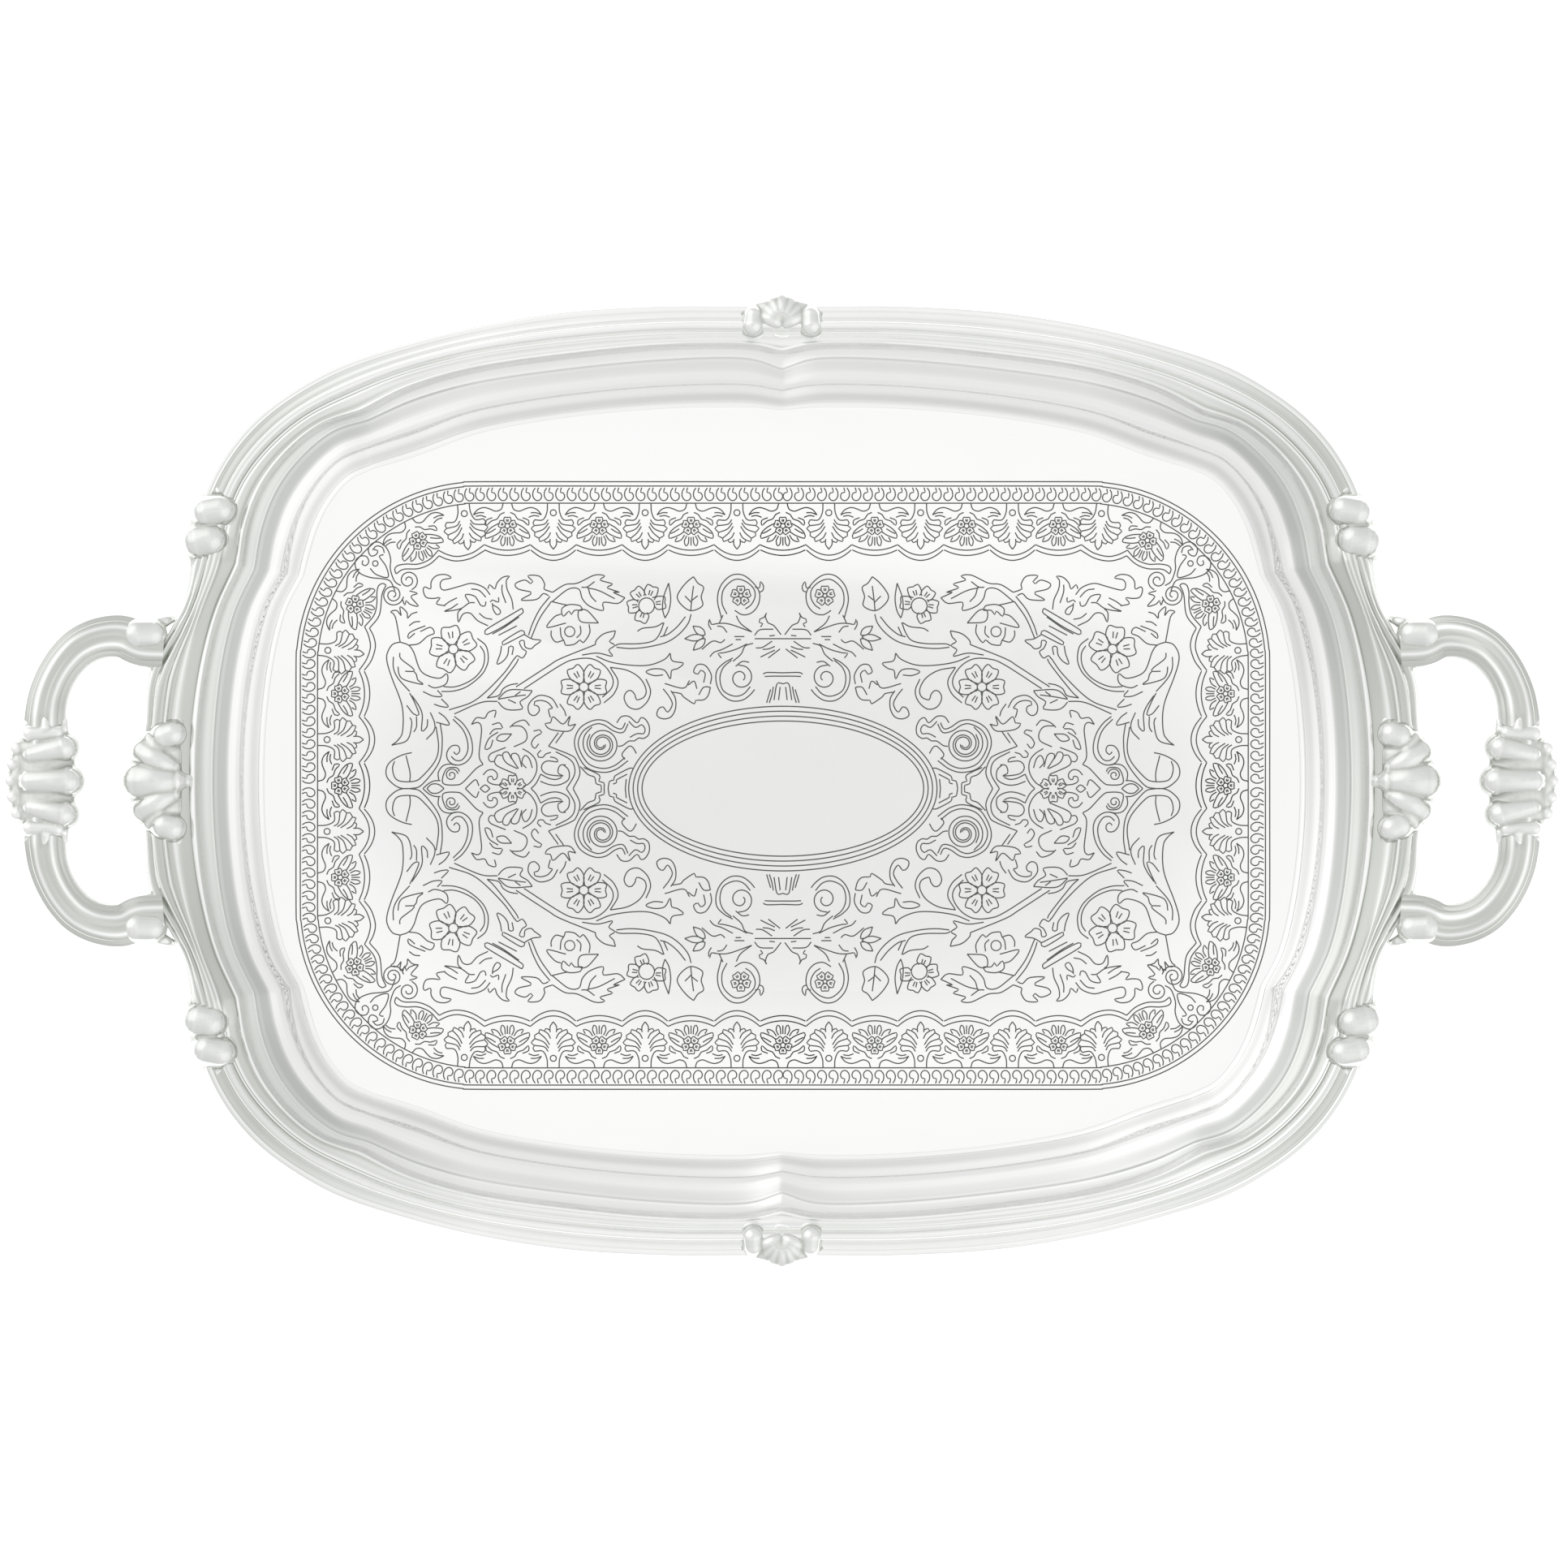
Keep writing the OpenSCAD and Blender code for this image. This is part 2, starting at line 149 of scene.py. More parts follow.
def capped_tube(rings):
    """Points and faces of a tube through rings of points, closed at both ends."""
    rows, cols = len(rings), len(rings[0])
    faces = []
    for a in range(0, (rows - 1) * cols, cols):
        b = a + cols
        faces += [(a + j, a + (j + 1) % cols, b + (j + 1) % cols, b + j) for j in range(cols)]
    faces.append(tuple(range(cols - 1, -1, -1)))
    faces.append(tuple(range((rows - 1) * cols, rows * cols)))
    return np.asarray(rings, float).reshape(-1, 3), faces


def joined(solids):
    """Points and faces of several solids in one."""
    points, faces, count = [], [], 0
    for solid_points, solid_faces in solids:
        faces += [tuple(i + count for i in face) for face in solid_faces]
        points.append(solid_points)
        count += len(solid_points)
    return np.vstack(points), faces


def in_corner(points, faces, x, y):
    """A solid drawn for the back right quarter, in the corner where x and y have these signs."""
    if x * y < 0:
        faces = [tuple(reversed(face)) for face in faces]
    return points * (x, y, 1), faces


def make_piece(name, solid, material, replaced=(), tone=None, smooth_angle=60):
    """A piece from a solid's points and faces, which rides on the root body. tone is one number a point,
    how bright its plate is painted: it carries painted shade, painted reflections and painted highlights."""
    points, faces = solid
    mesh = bpy.data.meshes.new(name)
    mesh.from_pydata((points * MM).tolist(), [], faces)
    mesh.validate()
    if tone is not None:
        values = mesh.attributes.new("tone", "FLOAT", "POINT").data
        values.foreach_set("value", np.asarray(tone, np.float32))
    mesh.materials.append(material)
    mesh.polygons.foreach_set("use_smooth", [True] * len(mesh.polygons))
    mesh.set_sharp_from_angle(angle=math.radians(smooth_angle))
    piece = bpy.data.objects.new(name, mesh)
    bpy.context.scene.collection.objects.link(piece)
    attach(piece, "root")
    if replaced:
        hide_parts(*replaced)


# ---------------------------------------------------------------- materials
# The share of a plate's roughness at its most and its least handled places
ROUGHNESS_SHARES = (0.75, 1.35)
HAIR_SCALE = 900.0
HAIR_STRETCH = (1.0, 7.0, 7.0)
HAIR_TURN = (0.0, 0.0, 0.5)
HAIR_DEPTH = 0.00004
HAIR_STRENGTH = 0.05
BLOTCH = 0.05


def node(tree, kind, **inputs):
    """A new node; the inputs' names have _ for a space."""
    made = tree.nodes.new(kind)
    for key, value in inputs.items():
        made.inputs[key.replace("_", " ")].default_value = value
    return made


def link(source, output, target, socket):
    source.id_data.links.new(source.outputs[output], target.inputs[socket])


def plate(name, bright, recess, roughness, wear_scale, use_tone=True):
    """Polished silver plate: darker where the tone attribute is low, which paints in shade, reflections and
    highlights, with faint wear and hairlines.
    """
    material = bpy.data.materials.new(name)
    material.use_nodes = True
    tree = material.node_tree
    shader = tree.nodes["Principled BSDF"]
    shader.inputs["Metallic"].default_value = 1.0
    place = node(tree, "ShaderNodeTexCoord")
    wear = node(tree, "ShaderNodeTexNoise", Scale=wear_scale, Detail=6.0, Roughness=0.6)
    link(place, "Object", wear, "Vector")
    least, most = ROUGHNESS_SHARES
    rough = node(tree, "ShaderNodeMapRange", To_Min=roughness * least, To_Max=roughness * most)
    link(wear, "Fac", rough, "Value")
    link(rough, "Result", shader, "Roughness")
    stretch = node(tree, "ShaderNodeMapping", Scale=HAIR_STRETCH, Rotation=HAIR_TURN)
    link(place, "Object", stretch, "Vector")
    hairs = node(tree, "ShaderNodeTexNoise", Scale=HAIR_SCALE, Detail=2.0)
    link(stretch, "Vector", hairs, "Vector")
    bump = node(tree, "ShaderNodeBump", Strength=HAIR_STRENGTH, Distance=HAIR_DEPTH)
    link(hairs, "Fac", bump, "Height")
    link(bump, "Normal", shader, "Normal")
    mix = node(tree, "ShaderNodeMix")
    mix.data_type = "RGBA"
    mix.inputs["A"].default_value = (*recess, 1)
    mix.inputs["B"].default_value = (*bright, 1)
    if use_tone:
        tone = node(tree, "ShaderNodeAttribute")
        tone.attribute_name = "tone"
        blotch = node(tree, "ShaderNodeMapRange", To_Min=-BLOTCH, To_Max=BLOTCH)
        link(wear, "Fac", blotch, "Value")
        total = node(tree, "ShaderNodeMath")
        total.use_clamp = True
        link(tone, "Fac", total, 0)
        link(blotch, "Result", total, 1)
        link(total, "Value", mix, "Factor")
    else:
        link(wear, "Fac", mix, "Factor")
    link(mix, "Result", shader, "Base Color")
    return material


SHEET_PLATE = plate("sheet_plate", (0.95, 0.95, 0.945), (0.54, 0.552, 0.532), 0.1, 35.0)
CASTING_LOOK = ((0.96, 0.965, 0.95), (0.53, 0.55, 0.515), 0.16, 60.0)
BORDER_PLATE = plate("border_plate", *CASTING_LOOK)
HANDLE_PLATE = plate("handle_plate", *CASTING_LOOK)
STEEL = plate("fastener_steel", (0.62, 0.62, 0.63), (0.5, 0.5, 0.51), 0.32, 400.0, use_tone=False)
# The engraved lines are low ridges painted dark, for the oxide in real engraved grooves and as painted shade
# in them
GROOVE_OXIDE_AND_SHADE = plate("engraved_line", (0.16, 0.17, 0.16), (0.07, 0.075, 0.07), 0.45, 300.0, use_tone=False)

# ---------------------------------------------------------------- pan
FLANGE_W = 30.4
# The pan's upper face, [outwards, height, tone], from the floor's edge up to the flange; the tone paints a
# shadow under the lip and the wall's darker reflected bands
PAN_TOP = [(0, 0.8, 1), (0.25, 0.77, 0.85), (0.5, 0.82, 1), (1.2, 0.93, 1), (1.8, 1.2, 1), (2.4, 2.0, 0.9),
           (3.0, 3.4, 0.6), (4.0, 5.4, 0.6), (5.0, 7.6, 0.9), (6.0, 9.7, 1), (7.0, 11.5, 1),
           (7.6, 12.3, 1), (7.9, 12.5, 0.97), (8.3, 12.85, 1), (9.2, 13.5, 1), (10.1, 13.95, 0.92),
           (10.4, 14.05, 0.88), (10.8, 14.2, 0.92), (12.5, 14.9, 0.72), (14.2, 15.7, 0.72),
           (15.2, 16.3, 0.8), (15.8, 16.5, 0.3), (16.6, 16.5, 0.3), (23, 16.5, 0.8), (FLANGE_W, 16.5, 0.8)]
PAN_STEP = 0.7
PAN_STATIONS_PER_KNOT = 10
PAN_SMOOTH_ANGLE = 35
# The underside's tone, a little darker than the top: painted shade
UNDERSIDE_TONE = 0.8
# The underside's flat starts this far outwards, under the bend at the foot of the wall
UNDERSIDE_FROM = 1
# The painted shade of the corners and the ends starts outside the wall, and fades out this far from an end's
# middle
WALL_W = 11
ENDS_REACH = 11
ENDS_FADE = 4
PAN_PAINTED_SHADE = 3


def painted_end_shade(tone, s, w, gain):
    """The tones beside stations s, with painted shade outside the wall round the corners and the ends."""
    from_end = np.abs((s % (2 * LAST)) - LAST)
    share = np.clip((ENDS_REACH - from_end) / ENDS_FADE, 0, 1)
    return np.clip(1 - (1 - tone) * (1 + gain * share[:, None] * (w > WALL_W)), 0, 1)


def pan():
    """The stamped sheet: its floor, ogee wall and flange, with the underside a sheet's thickness below."""
    top = resample(PAN_TOP, PAN_STEP)
    along = unit(np.gradient(top[:, :2], axis=0))
    below = top[:, :2] + SHEET_T * np.stack([along[:, 1], -along[:, 0]], axis=1)
    below[0] = (UNDERSIDE_FROM, 0)
    below = below[below[:, 0] > UNDERSIDE_FROM - 0.1]
    below[:, 1] = np.maximum(below[:, 1], 0)
    w = np.concatenate([top[:, 0], below[::-1, 0]])
    z = np.concatenate([top[:, 1], below[::-1, 1]])
    tone = np.concatenate([top[:, 2], np.full(len(below), UNDERSIDE_TONE)])
    s = np.arange(0, ROUND, 1 / PAN_STATIONS_PER_KNOT)
    rings = raised(plan(s, w).transpose(1, 0, 2), z[:, None])
    make_piece("tray_pan", capped_tube(rings), SHEET_PLATE, ["pan"],
               painted_end_shade(tone, s, w, PAN_PAINTED_SHADE).T.ravel(), PAN_SMOOTH_ANGLE)


# ---------------------------------------------------------------- engraving
# The engraving lies a little forward of the tray's middle. Strokes are drawn for the back right
# quarter, as points of a smooth curve in plan, and mirrored about its middle lines.
ENGRAVED_HALF = 0.32
ENGRAVED_TOP = 0.035
ENGRAVED_ROOT = -0.02
ENGRAVED_STEP = 0.75
ENGRAVING_X = 0.3
BAND_Y = -1.5
ARABESQUE_Y = -2.5
QUARTERS = ((1, 1), (-1, 1), (1, -1), (-1, -1))
COIL_POINTS_PER_TURN = 11


def engrave(name, strokes, middle_y, signs=QUARTERS):
    """Dark lines along the strokes and their mirror images: low ridges rooted in the sheet, painted dark for
    the grooves' oxide and as painted shade in them.
    """
    heights = SHEET_T + np.array((ENGRAVED_ROOT, ENGRAVED_TOP, ENGRAVED_ROOT))
    ridges = []
    for stroke in strokes:
        line = resample(stroke, ENGRAVED_STEP)
        ahead = unit(np.gradient(line, axis=0))
        side = ENGRAVED_HALF * np.stack([ahead[:, 1], -ahead[:, 0]], axis=1)
        rings = raised(np.stack([line - side, line, line + side], axis=1), heights)
        for x, y in signs:
            placed = (ENGRAVING_X, middle_y, 0) + (rings - (0, middle_y, 0)) * (x, y, 1)
            ridges.append(capped_tube(placed if x * y > 0 else placed[::-1]))
    make_piece(name, joined(ridges), GROOVE_OXIDE_AND_SHADE)


def around(centre, radius, angles):
    """Points at a radius, or radii, and angles in degrees about a centre."""
    angles = np.radians(angles)
    return np.array(centre) + np.stack([radius * np.cos(angles), radius * np.sin(angles)], axis=-1)


def coil(centre, outer, inner, start, turns):
    """A spiral from its outer radius in to its inner one; turns below zero run clockwise."""
    t = np.linspace(0, 1, max(8, round(COIL_POINTS_PER_TURN * abs(turns))))
    return around(centre, outer + (inner - outer) * t, start + 360 * turns * t)


def ring(centre, radius):
    return coil(centre, radius, radius, 0, 1)


def petals(centre, radius, directions, width, heart=0.2):
    """Notched petals that face in the given directions, round a small ring."""
    strokes = []
    reach = radius * np.array((heart, 0.62, 0.97, 0.9, 0.97, 0.62, heart))
    spread = width * np.array((-0.35, -0.5, -0.26, 0, 0.26, 0.5, 0.35))
    vein = radius * np.array((0.45, 0.72))
    for facing in directions:
        strokes.append(around(centre, reach, facing + spread))
        strokes += [around(centre, vein, facing + width * aside * np.ones(2)) for aside in (-0.1, 0.1)]
    return strokes


def flower(centre, radius, count, turn=90, heart=0.2):
    directions = turn + 360 / count * np.arange(count)
    return petals(centre, radius, directions, 360 / count, heart) + [ring(centre, heart * radius)]


def leaf(base, tip, half_width):
    """The two edges of a pointed leaf, which part a little way from its base."""
    base, tip = np.array(base, float), np.array(tip, float)
    along = tip - base
    side = half_width * np.array((-along[1], along[0])) / np.linalg.norm(along)
    return [[base + 0.15 * along, base + 0.35 * along + 0.8 * s, base + 0.65 * along + 0.9 * s, tip]
            for s in (side, -side)]


# ---- bands round the field: a running scroll, then flowers and palmettes in turn
# The field's half length, half width and corner radius, to the outer line
FIELD_X = 158.5
FIELD_Y = 98.9
FIELD_R = 60
STRAIGHT_X = FIELD_X - FIELD_R
STRAIGHT_Y = FIELD_Y - FIELD_R
CORNER_LENGTH = FIELD_R * math.pi / 2
QUARTER_LENGTH = STRAIGHT_X + CORNER_LENGTH + STRAIGHT_Y
BAND_LINES = (0, 1.4, 7.0)
SCROLLS = 62
MOTIF_PITCH = 14.95
# How deep the scallop over a motif is, and its two lines' cusps, [inward, share of the pitch]
FLOWER_HOLLOW = 1.8
PALMETTE_HOLLOW = 3.4
CUSP_LINES = ((20.5, 1), (22.2, 0.98))


def beside_field(strokes, along):
    """Strokes drawn as [along, inward] points, moved to a distance along the field's outer line."""
    turn = min(max((along - STRAIGHT_X) / FIELD_R, 0), math.pi / 2)
    across = np.array((math.cos(turn), -math.sin(turn)))
    inward = np.array((-math.sin(turn), -math.cos(turn)))
    start = np.array((min(along, STRAIGHT_X), STRAIGHT_Y + BAND_Y)) - FIELD_R * inward
    start[1] -= max(along - STRAIGHT_X - CORNER_LENGTH, 0)
    return [start + np.array(s, float) @ np.stack([across, inward]) for s in strokes]


def both_sides(strokes):
    return strokes + [np.array(s, float) * (-1, 1) for s in strokes]


def band_line(inward):
    """A line round a quarter of the field."""
    corner = STRAIGHT_X + CORNER_LENGTH * np.linspace(0, 1, 17)
    alongs = np.concatenate([[0, STRAIGHT_X / 2], corner, [QUARTER_LENGTH]])
    return np.concatenate([beside_field([[(0, inward)]], along)[0] for along in alongs])


def running_scroll():
    """The band's lines, with a drop for each turn of its scroll."""
    drop = [(-0.75, 1.9), (-0.4, 3.4), (-1.4, 3.7), (-1.8, 4.9), (-1.1, 6), (0.2, 6), (1.1, 4.6),
            (0.9, 2.9), (0.3, 2)]
    strokes = [band_line(inward) for inward in BAND_LINES]
    for along in QUARTER_LENGTH / SCROLLS * (np.arange(SCROLLS) + 0.5):
        strokes += beside_field([drop], along)
    return strokes


def palmette():
    """A palmette of the band, as [along, inward] points."""
    half = [
        [(1.9, 7.1), (2.1, 10), (3.4, 12.4), (6.1, 12.4)],
        [(6.1, 12.4), (6.6, 13.4), (6.2, 14.3), (7.2, 15.2), (6, 16.5), (6.1, 17.6), (4.7, 18.4),
         (4.4, 19.5), (3, 19), (2.4, 19.8), (1.1, 19.3)],
        [(1.7, 12.3), (2.9, 13.8), (6.2, 14.3)],
        [(1.5, 13.4), (3.1, 15.4), (6, 16.5)],
        [(1.2, 14.5), (2.6, 16.6), (4.7, 18.4)],
        [(0.9, 16.5), (1.7, 18.1), (3, 19)],
        [(1, 18.6), (1.05, 20.4), (0, 22)]]
    return both_sides(half) + [ring((0, 10.1), 1)]


def band_flower():
    """A flower between leaves, as [along, inward] points."""
    half = [
        [(1.4, 7.1), (2, 8.9), (3.8, 9.6), (5.9, 8.8), (7.7, 8.4), (9.7, 9.1), (11.1, 10.8)],
        [(11.1, 10.8), (9.4, 10.1), (7.6, 10.1)],
        [(10.3, 11.3), (8.6, 11), (6.9, 11.6)],
        [(0.9, 10), (2.4, 10.7), (3.3, 12.1), (5.2, 12.8), (6.8, 14.2), (6.9, 12.6), (4.9, 11.7)],
        [(2.9, 13.6), (5.2, 14.9), (6.9, 16.6), (7.1, 18.4), (4.2, 17.5), (2.3, 16.3)],
        [(3.8, 15.3), (5.4, 16.3), (6.7, 16.9)],
        [(2.1, 17.3), (3.3, 19), (5.2, 19.5), (4.5, 18.1)],
        [(0.7, 17.9), (0.9, 20.1), (1.7, 20.9), (2.2, 19.4), (1.4, 17.6)]]
    return both_sides(half) + flower((0, 14.4), 3.1, 5, -90, 0.26) + [[(0, 18), (0, 20.8)]]


def scallop(middle, depth):
    """The two lines that hollow inward between cusps a pitch apart."""
    t = np.linspace(0, 1, 9)
    along = (t - 0.5) * MOTIF_PITCH
    deep = 4 * t * (1 - t) * depth
    lines = [np.stack([along * reach, cusp + deep], axis=1) for cusp, reach in CUSP_LINES]
    return beside_field(lines, middle)


def flowers_and_palmettes():
    """Flowers and palmettes in turn along the side and the end, and those of the corner between."""
    strokes = corner_scallops() + corner_heart()
    places = [(i, i * MOTIF_PITCH) for i in range(7)]
    places += [(i, QUARTER_LENGTH - i * MOTIF_PITCH) for i in range(3)]
    for i, along in places:
        motif, hollow = (palmette(), PALMETTE_HOLLOW) if i % 2 else (band_flower(), FLOWER_HOLLOW)
        strokes += beside_field(motif, along) + scallop(along, hollow)
    for motif, alongs in ((palmette(), (104.8, 186.6)), (band_flower(), (126, 165.5))):
        for along in alongs:
            strokes += beside_field(motif, along)
    return strokes


def corner_scallops():
    """The hollows at the corner, which are deeper than the others."""
    return [
        [(97.2, 76.9), (101, 74.3), (105.5, 73.1), (109, 73.6), (112.2, 75.1)],
        [(96.8, 75.2), (101.5, 72.5), (106, 71.6), (109.5, 72.2), (111.9, 73.3)],
        [(112.2, 75.1), (114.9, 72.2), (118.7, 70.6), (122.6, 70.6), (125.4, 70.1), (126.4, 68.9),
         (125.9, 67.4)],
        [(111.9, 73.3), (114.9, 70.6), (118.7, 69.1), (123.5, 68.9), (125.9, 67.4)],
        [(136.2, 50.2), (133.1, 54), (132.2, 57.8), (132.2, 61.2), (131.6, 63.6), (130.2, 64.3),
         (129.2, 63.7)],
        [(134.6, 49.7), (131.4, 54), (130.5, 60.7), (129.2, 63.7)],
        [(136.2, 50.2), (134.9, 47.3), (134.3, 43.5), (135.6, 39.5), (138, 36)],
        [(134.6, 49.7), (133.2, 46.9), (132.7, 43.5), (134, 39.2), (136.3, 36)]]


def corner_heart():
    """The heart of two scrolls at the corner, and the leaf behind it."""
    return [
        [(124.4, 63.6), (126.4, 65), (127.8, 68.9), (127.7, 72.2), (128.6, 75.1), (130.2, 77),
         (132.2, 77.8), (134.1, 77), (135, 75.1), (134.1, 73.2), (132.4, 73.7), (131.9, 74.9),
         (133.1, 75.3)],
        [(126.3, 61.9), (127.8, 65), (130.2, 65.8), (134.1, 66.2), (137.4, 67.4), (139.1, 69.4),
         (139.1, 71.8), (137.4, 73.2), (135.5, 73), (134.8, 71.3), (135.8, 70.1), (137, 70.6),
         (136.7, 71.8)],
        [(129.8, 74.2), (130.3, 75.9), (132.3, 76.5), (133.6, 75.1)],
        [(130, 73.6), (131.4, 73.1), (129.2, 69.8), (128.6, 66.3), (132.4, 67.2), (134.4, 69.2)],
        ring((132.7, 70.8), 0.9),
        coil((122, 65.3), 3.3, 0.7, 250, -1.7),
        coil((127, 60.6), 3.6, 0.7, 190, 2.2),
        [(121.6, 61.9), (119, 61), (121.1, 60), (118.7, 56.9), (121.6, 57.6), (122.6, 58.8), (123.1, 57.2),
         (123.9, 59.3)]]


# ---- the arabesque between the bands and the medallion
def acanthus_spray():
    """The large leaf, its stems and the bud it springs from, beside the field's end."""
    return [
        [(124.6, 45.2), (127, 44.5), (128.7, 41.9), (128.9, 38.9), (127.4, 33.8), (124, 24.4),
         (123.8, 16.3), (125.3, 13.3), (127.4, 11.6)],
        [(127.4, 11.6), (122.3, 13.3), (120.8, 18.9), (121.5, 20.6)],
        [(124.6, 45.2), (121.9, 44.2), (120.2, 41.9), (117.6, 35.5), (112.1, 33.4), (109.5, 34.9),
         (109.1, 32.9), (110.2, 31.2), (113.4, 30.3), (115.5, 31.2)],
        [(126.8, 40.4), (126.8, 36.8), (125.3, 33.4), (121.5, 29.1)],
        [(124.7, 41.7), (124.4, 39.8), (120.6, 36.8), (120.2, 35.7), (123, 35.7)],
        [(125.3, 37.2), (124.9, 34.6), (123.2, 32.9), (117.2, 31.4), (118.9, 32.9), (119.3, 34.6),
         (120.2, 35.7)],
        [(121.5, 28.6), (119.8, 25.3), (118.5, 21.6), (120.2, 21.8), (122.5, 24.6)],
        [(120.8, 27.8), (118.5, 24.4), (117.4, 21.4), (117.6, 16.3), (115.9, 17.6), (115.7, 20.1)],
        [(119.3, 21), (119.3, 17.6), (120.2, 15.9)],
        [(117.2, 29.1), (113.8, 27.6), (111, 27.6), (112.5, 29.5)],
        [(113.6, 25), (111.2, 24.2), (108.9, 24.2), (111.2, 26.7)],
        [(112.1, 22.3), (109.9, 20.6), (108.7, 18.2), (112.9, 19.1)],
        [(114.8, 22.3), (113.4, 18.9), (113.6, 16.3), (116.1, 13.5)],
        [(111.6, 18.9), (110.9, 13), (112, 6), (117.4, -1.1), (120.8, -2.4), (124.9, -2.2), (128.1, 0.1),
         (129.2, 2.3), (128.8, 4.9), (127.1, 6.8), (123.8, 8.5), (120.8, 9.2)],
        [(112.9, 17.6), (112.1, 11), (113.3, 6.4), (117.4, 1.5), (120, -0.1), (124.5, -0.1), (126.4, 1.2),
         (127.1, 4.2), (126.4, 6.4)],
        [(122.7, 8.3), (121.4, 2.7), (121.5, -0.3)],
        [(124.6, 45.2), (126.2, 53.4), (127.7, 55), (125.8, 55.5), (124.3, 53.8)],
        [(124.3, 53.8), (124.6, 56.7), (122.4, 54.8), (122.2, 52.9), (121, 54.3), (119, 55)],
        [(121.7, 50.5), (120, 51.7), (118.1, 51.9)],
        [(119.8, 48.1), (121.9, 46.4), (121.9, 47.8), (120.2, 49), (116.4, 50.5)],
        [(121.7, 44.2), (118.6, 44.7), (115.7, 47.1), (113.5, 48.1), (114.7, 50), (118.1, 48.6)]]


def large_flowers():
    """The two open flowers, and the stems that curl round them."""
    return flower((107.3, 42.9), 8, 5, 80) + flower((64.8, 30.6), 7.8, 6, 60) + [
        [(99.5, 46.4), (96.7, 44), (95.9, 40.2), (96.5, 37.2), (98.4, 34.2), (102.7, 30.8), (107, 29.3),
         (111.2, 29.1)],
        [(98.6, 44), (97.2, 41.5), (97.5, 37.6), (99.7, 34.2), (103.1, 31.9), (107, 30.6),
         (110.5, 30.7)],
        [(108.7, 23.1), (100.1, 26.3), (91.6, 34.2), (87.3, 40)],
        [(107, 21.8), (98.4, 25.5), (92.9, 25.9)],
        [(96.3, 27), (93.7, 29.5), (87.3, 37.6), (86.1, 39.8)],
        [(61, 44.4), (72.4, 39.8), (76.7, 37.2), (86.9, 30.6)],
        [(58.3, 25.4), (55, 28.4), (53.7, 32.5), (56.2, 37)],
        [(58.8, 27.2), (55.8, 30.2), (55.4, 33.4), (58, 37.4), (62, 39.7), (67, 39.7), (72, 37.9),
         (84.3, 30)]]


def leaf_spray():
    """The veined leaf and the small scrolls and leaves round it."""
    return [
        [(81.6, 29.4), (89, 29.6), (92.7, 26.8)],
        [(86.3, 31.7), (89, 31.2), (91.2, 29.9), (92.5, 27.8), (96.3, 27)],
        [(81.6, 29.3), (83.1, 27.4), (85.6, 25.7), (84.8, 23.5), (89, 23.1), (91.2, 24), (92.7, 25.7)],
        [(83.7, 28), (88.2, 27.4), (92.7, 26.6)],
        [(85.4, 29.1), (87.2, 27.8)],
        [(89.5, 26.5), (86.9, 25.3)],
        [(73.3, 23.8), (75.2, 26.8), (78.7, 27.9), (81.2, 26.8), (82.9, 24.5), (82.5, 21.9), (80.8, 21.3),
         (79.3, 22.8), (79.7, 24.3), (81, 24.7), (80.8, 25.8), (78.7, 26.2), (76.5, 25.5), (75, 23.8)],
        [(75, 23.6), (76.3, 23.2), (75.7, 20.6)],
        [(72.7, 25.1), (71.2, 23), (70.6, 21.1)],
        [(67.4, 18.5), (69.9, 18.1), (69.3, 21.1), (71.6, 18.5), (74.8, 20.9), (75.7, 18.9), (77.4, 18.7),
         (75.7, 16.8), (69.7, 16.2), (67.4, 18.5)],
        [(71.4, 15.9), (74, 12.3)],
        [(73.1, 15.7), (76.3, 11.3)],
        [(81.2, 16.2), (79.1, 16.6), (78.5, 15.7), (80.8, 14.2), (81.9, 12.1), (80.8, 10.6), (79.5, 12.1)],
        [(88.9, 17.4), (87.2, 18.9), (84.2, 19.8), (82.5, 18)],
        [(88.5, 17.9), (85.1, 17.7), (83.4, 15.5), (83.8, 13), (87.6, 11.1)],
        [(91.2, 17.2), (92.3, 18.9), (94.7, 18.3)],
        [(91.5, 17), (94, 16.8), (95.5, 15.1)],
        [(88.3, 15.3), (91.9, 15.1), (93.2, 13.4), (90.6, 13), (88.3, 15.3)],
        [(92.7, 15.9), (95.7, 13.8), (97, 10.4), (95.3, 10.8), (94.4, 13.4)],
        [(101.4, 18.4), (99.7, 20.6), (97.1, 20.4), (95.9, 22.3), (93.5, 22.9), (93.9, 20.6)],
        [(101.4, 18.4), (99.2, 19), (98.1, 16.8), (98.9, 8.3), (97.6, 5.3)]]


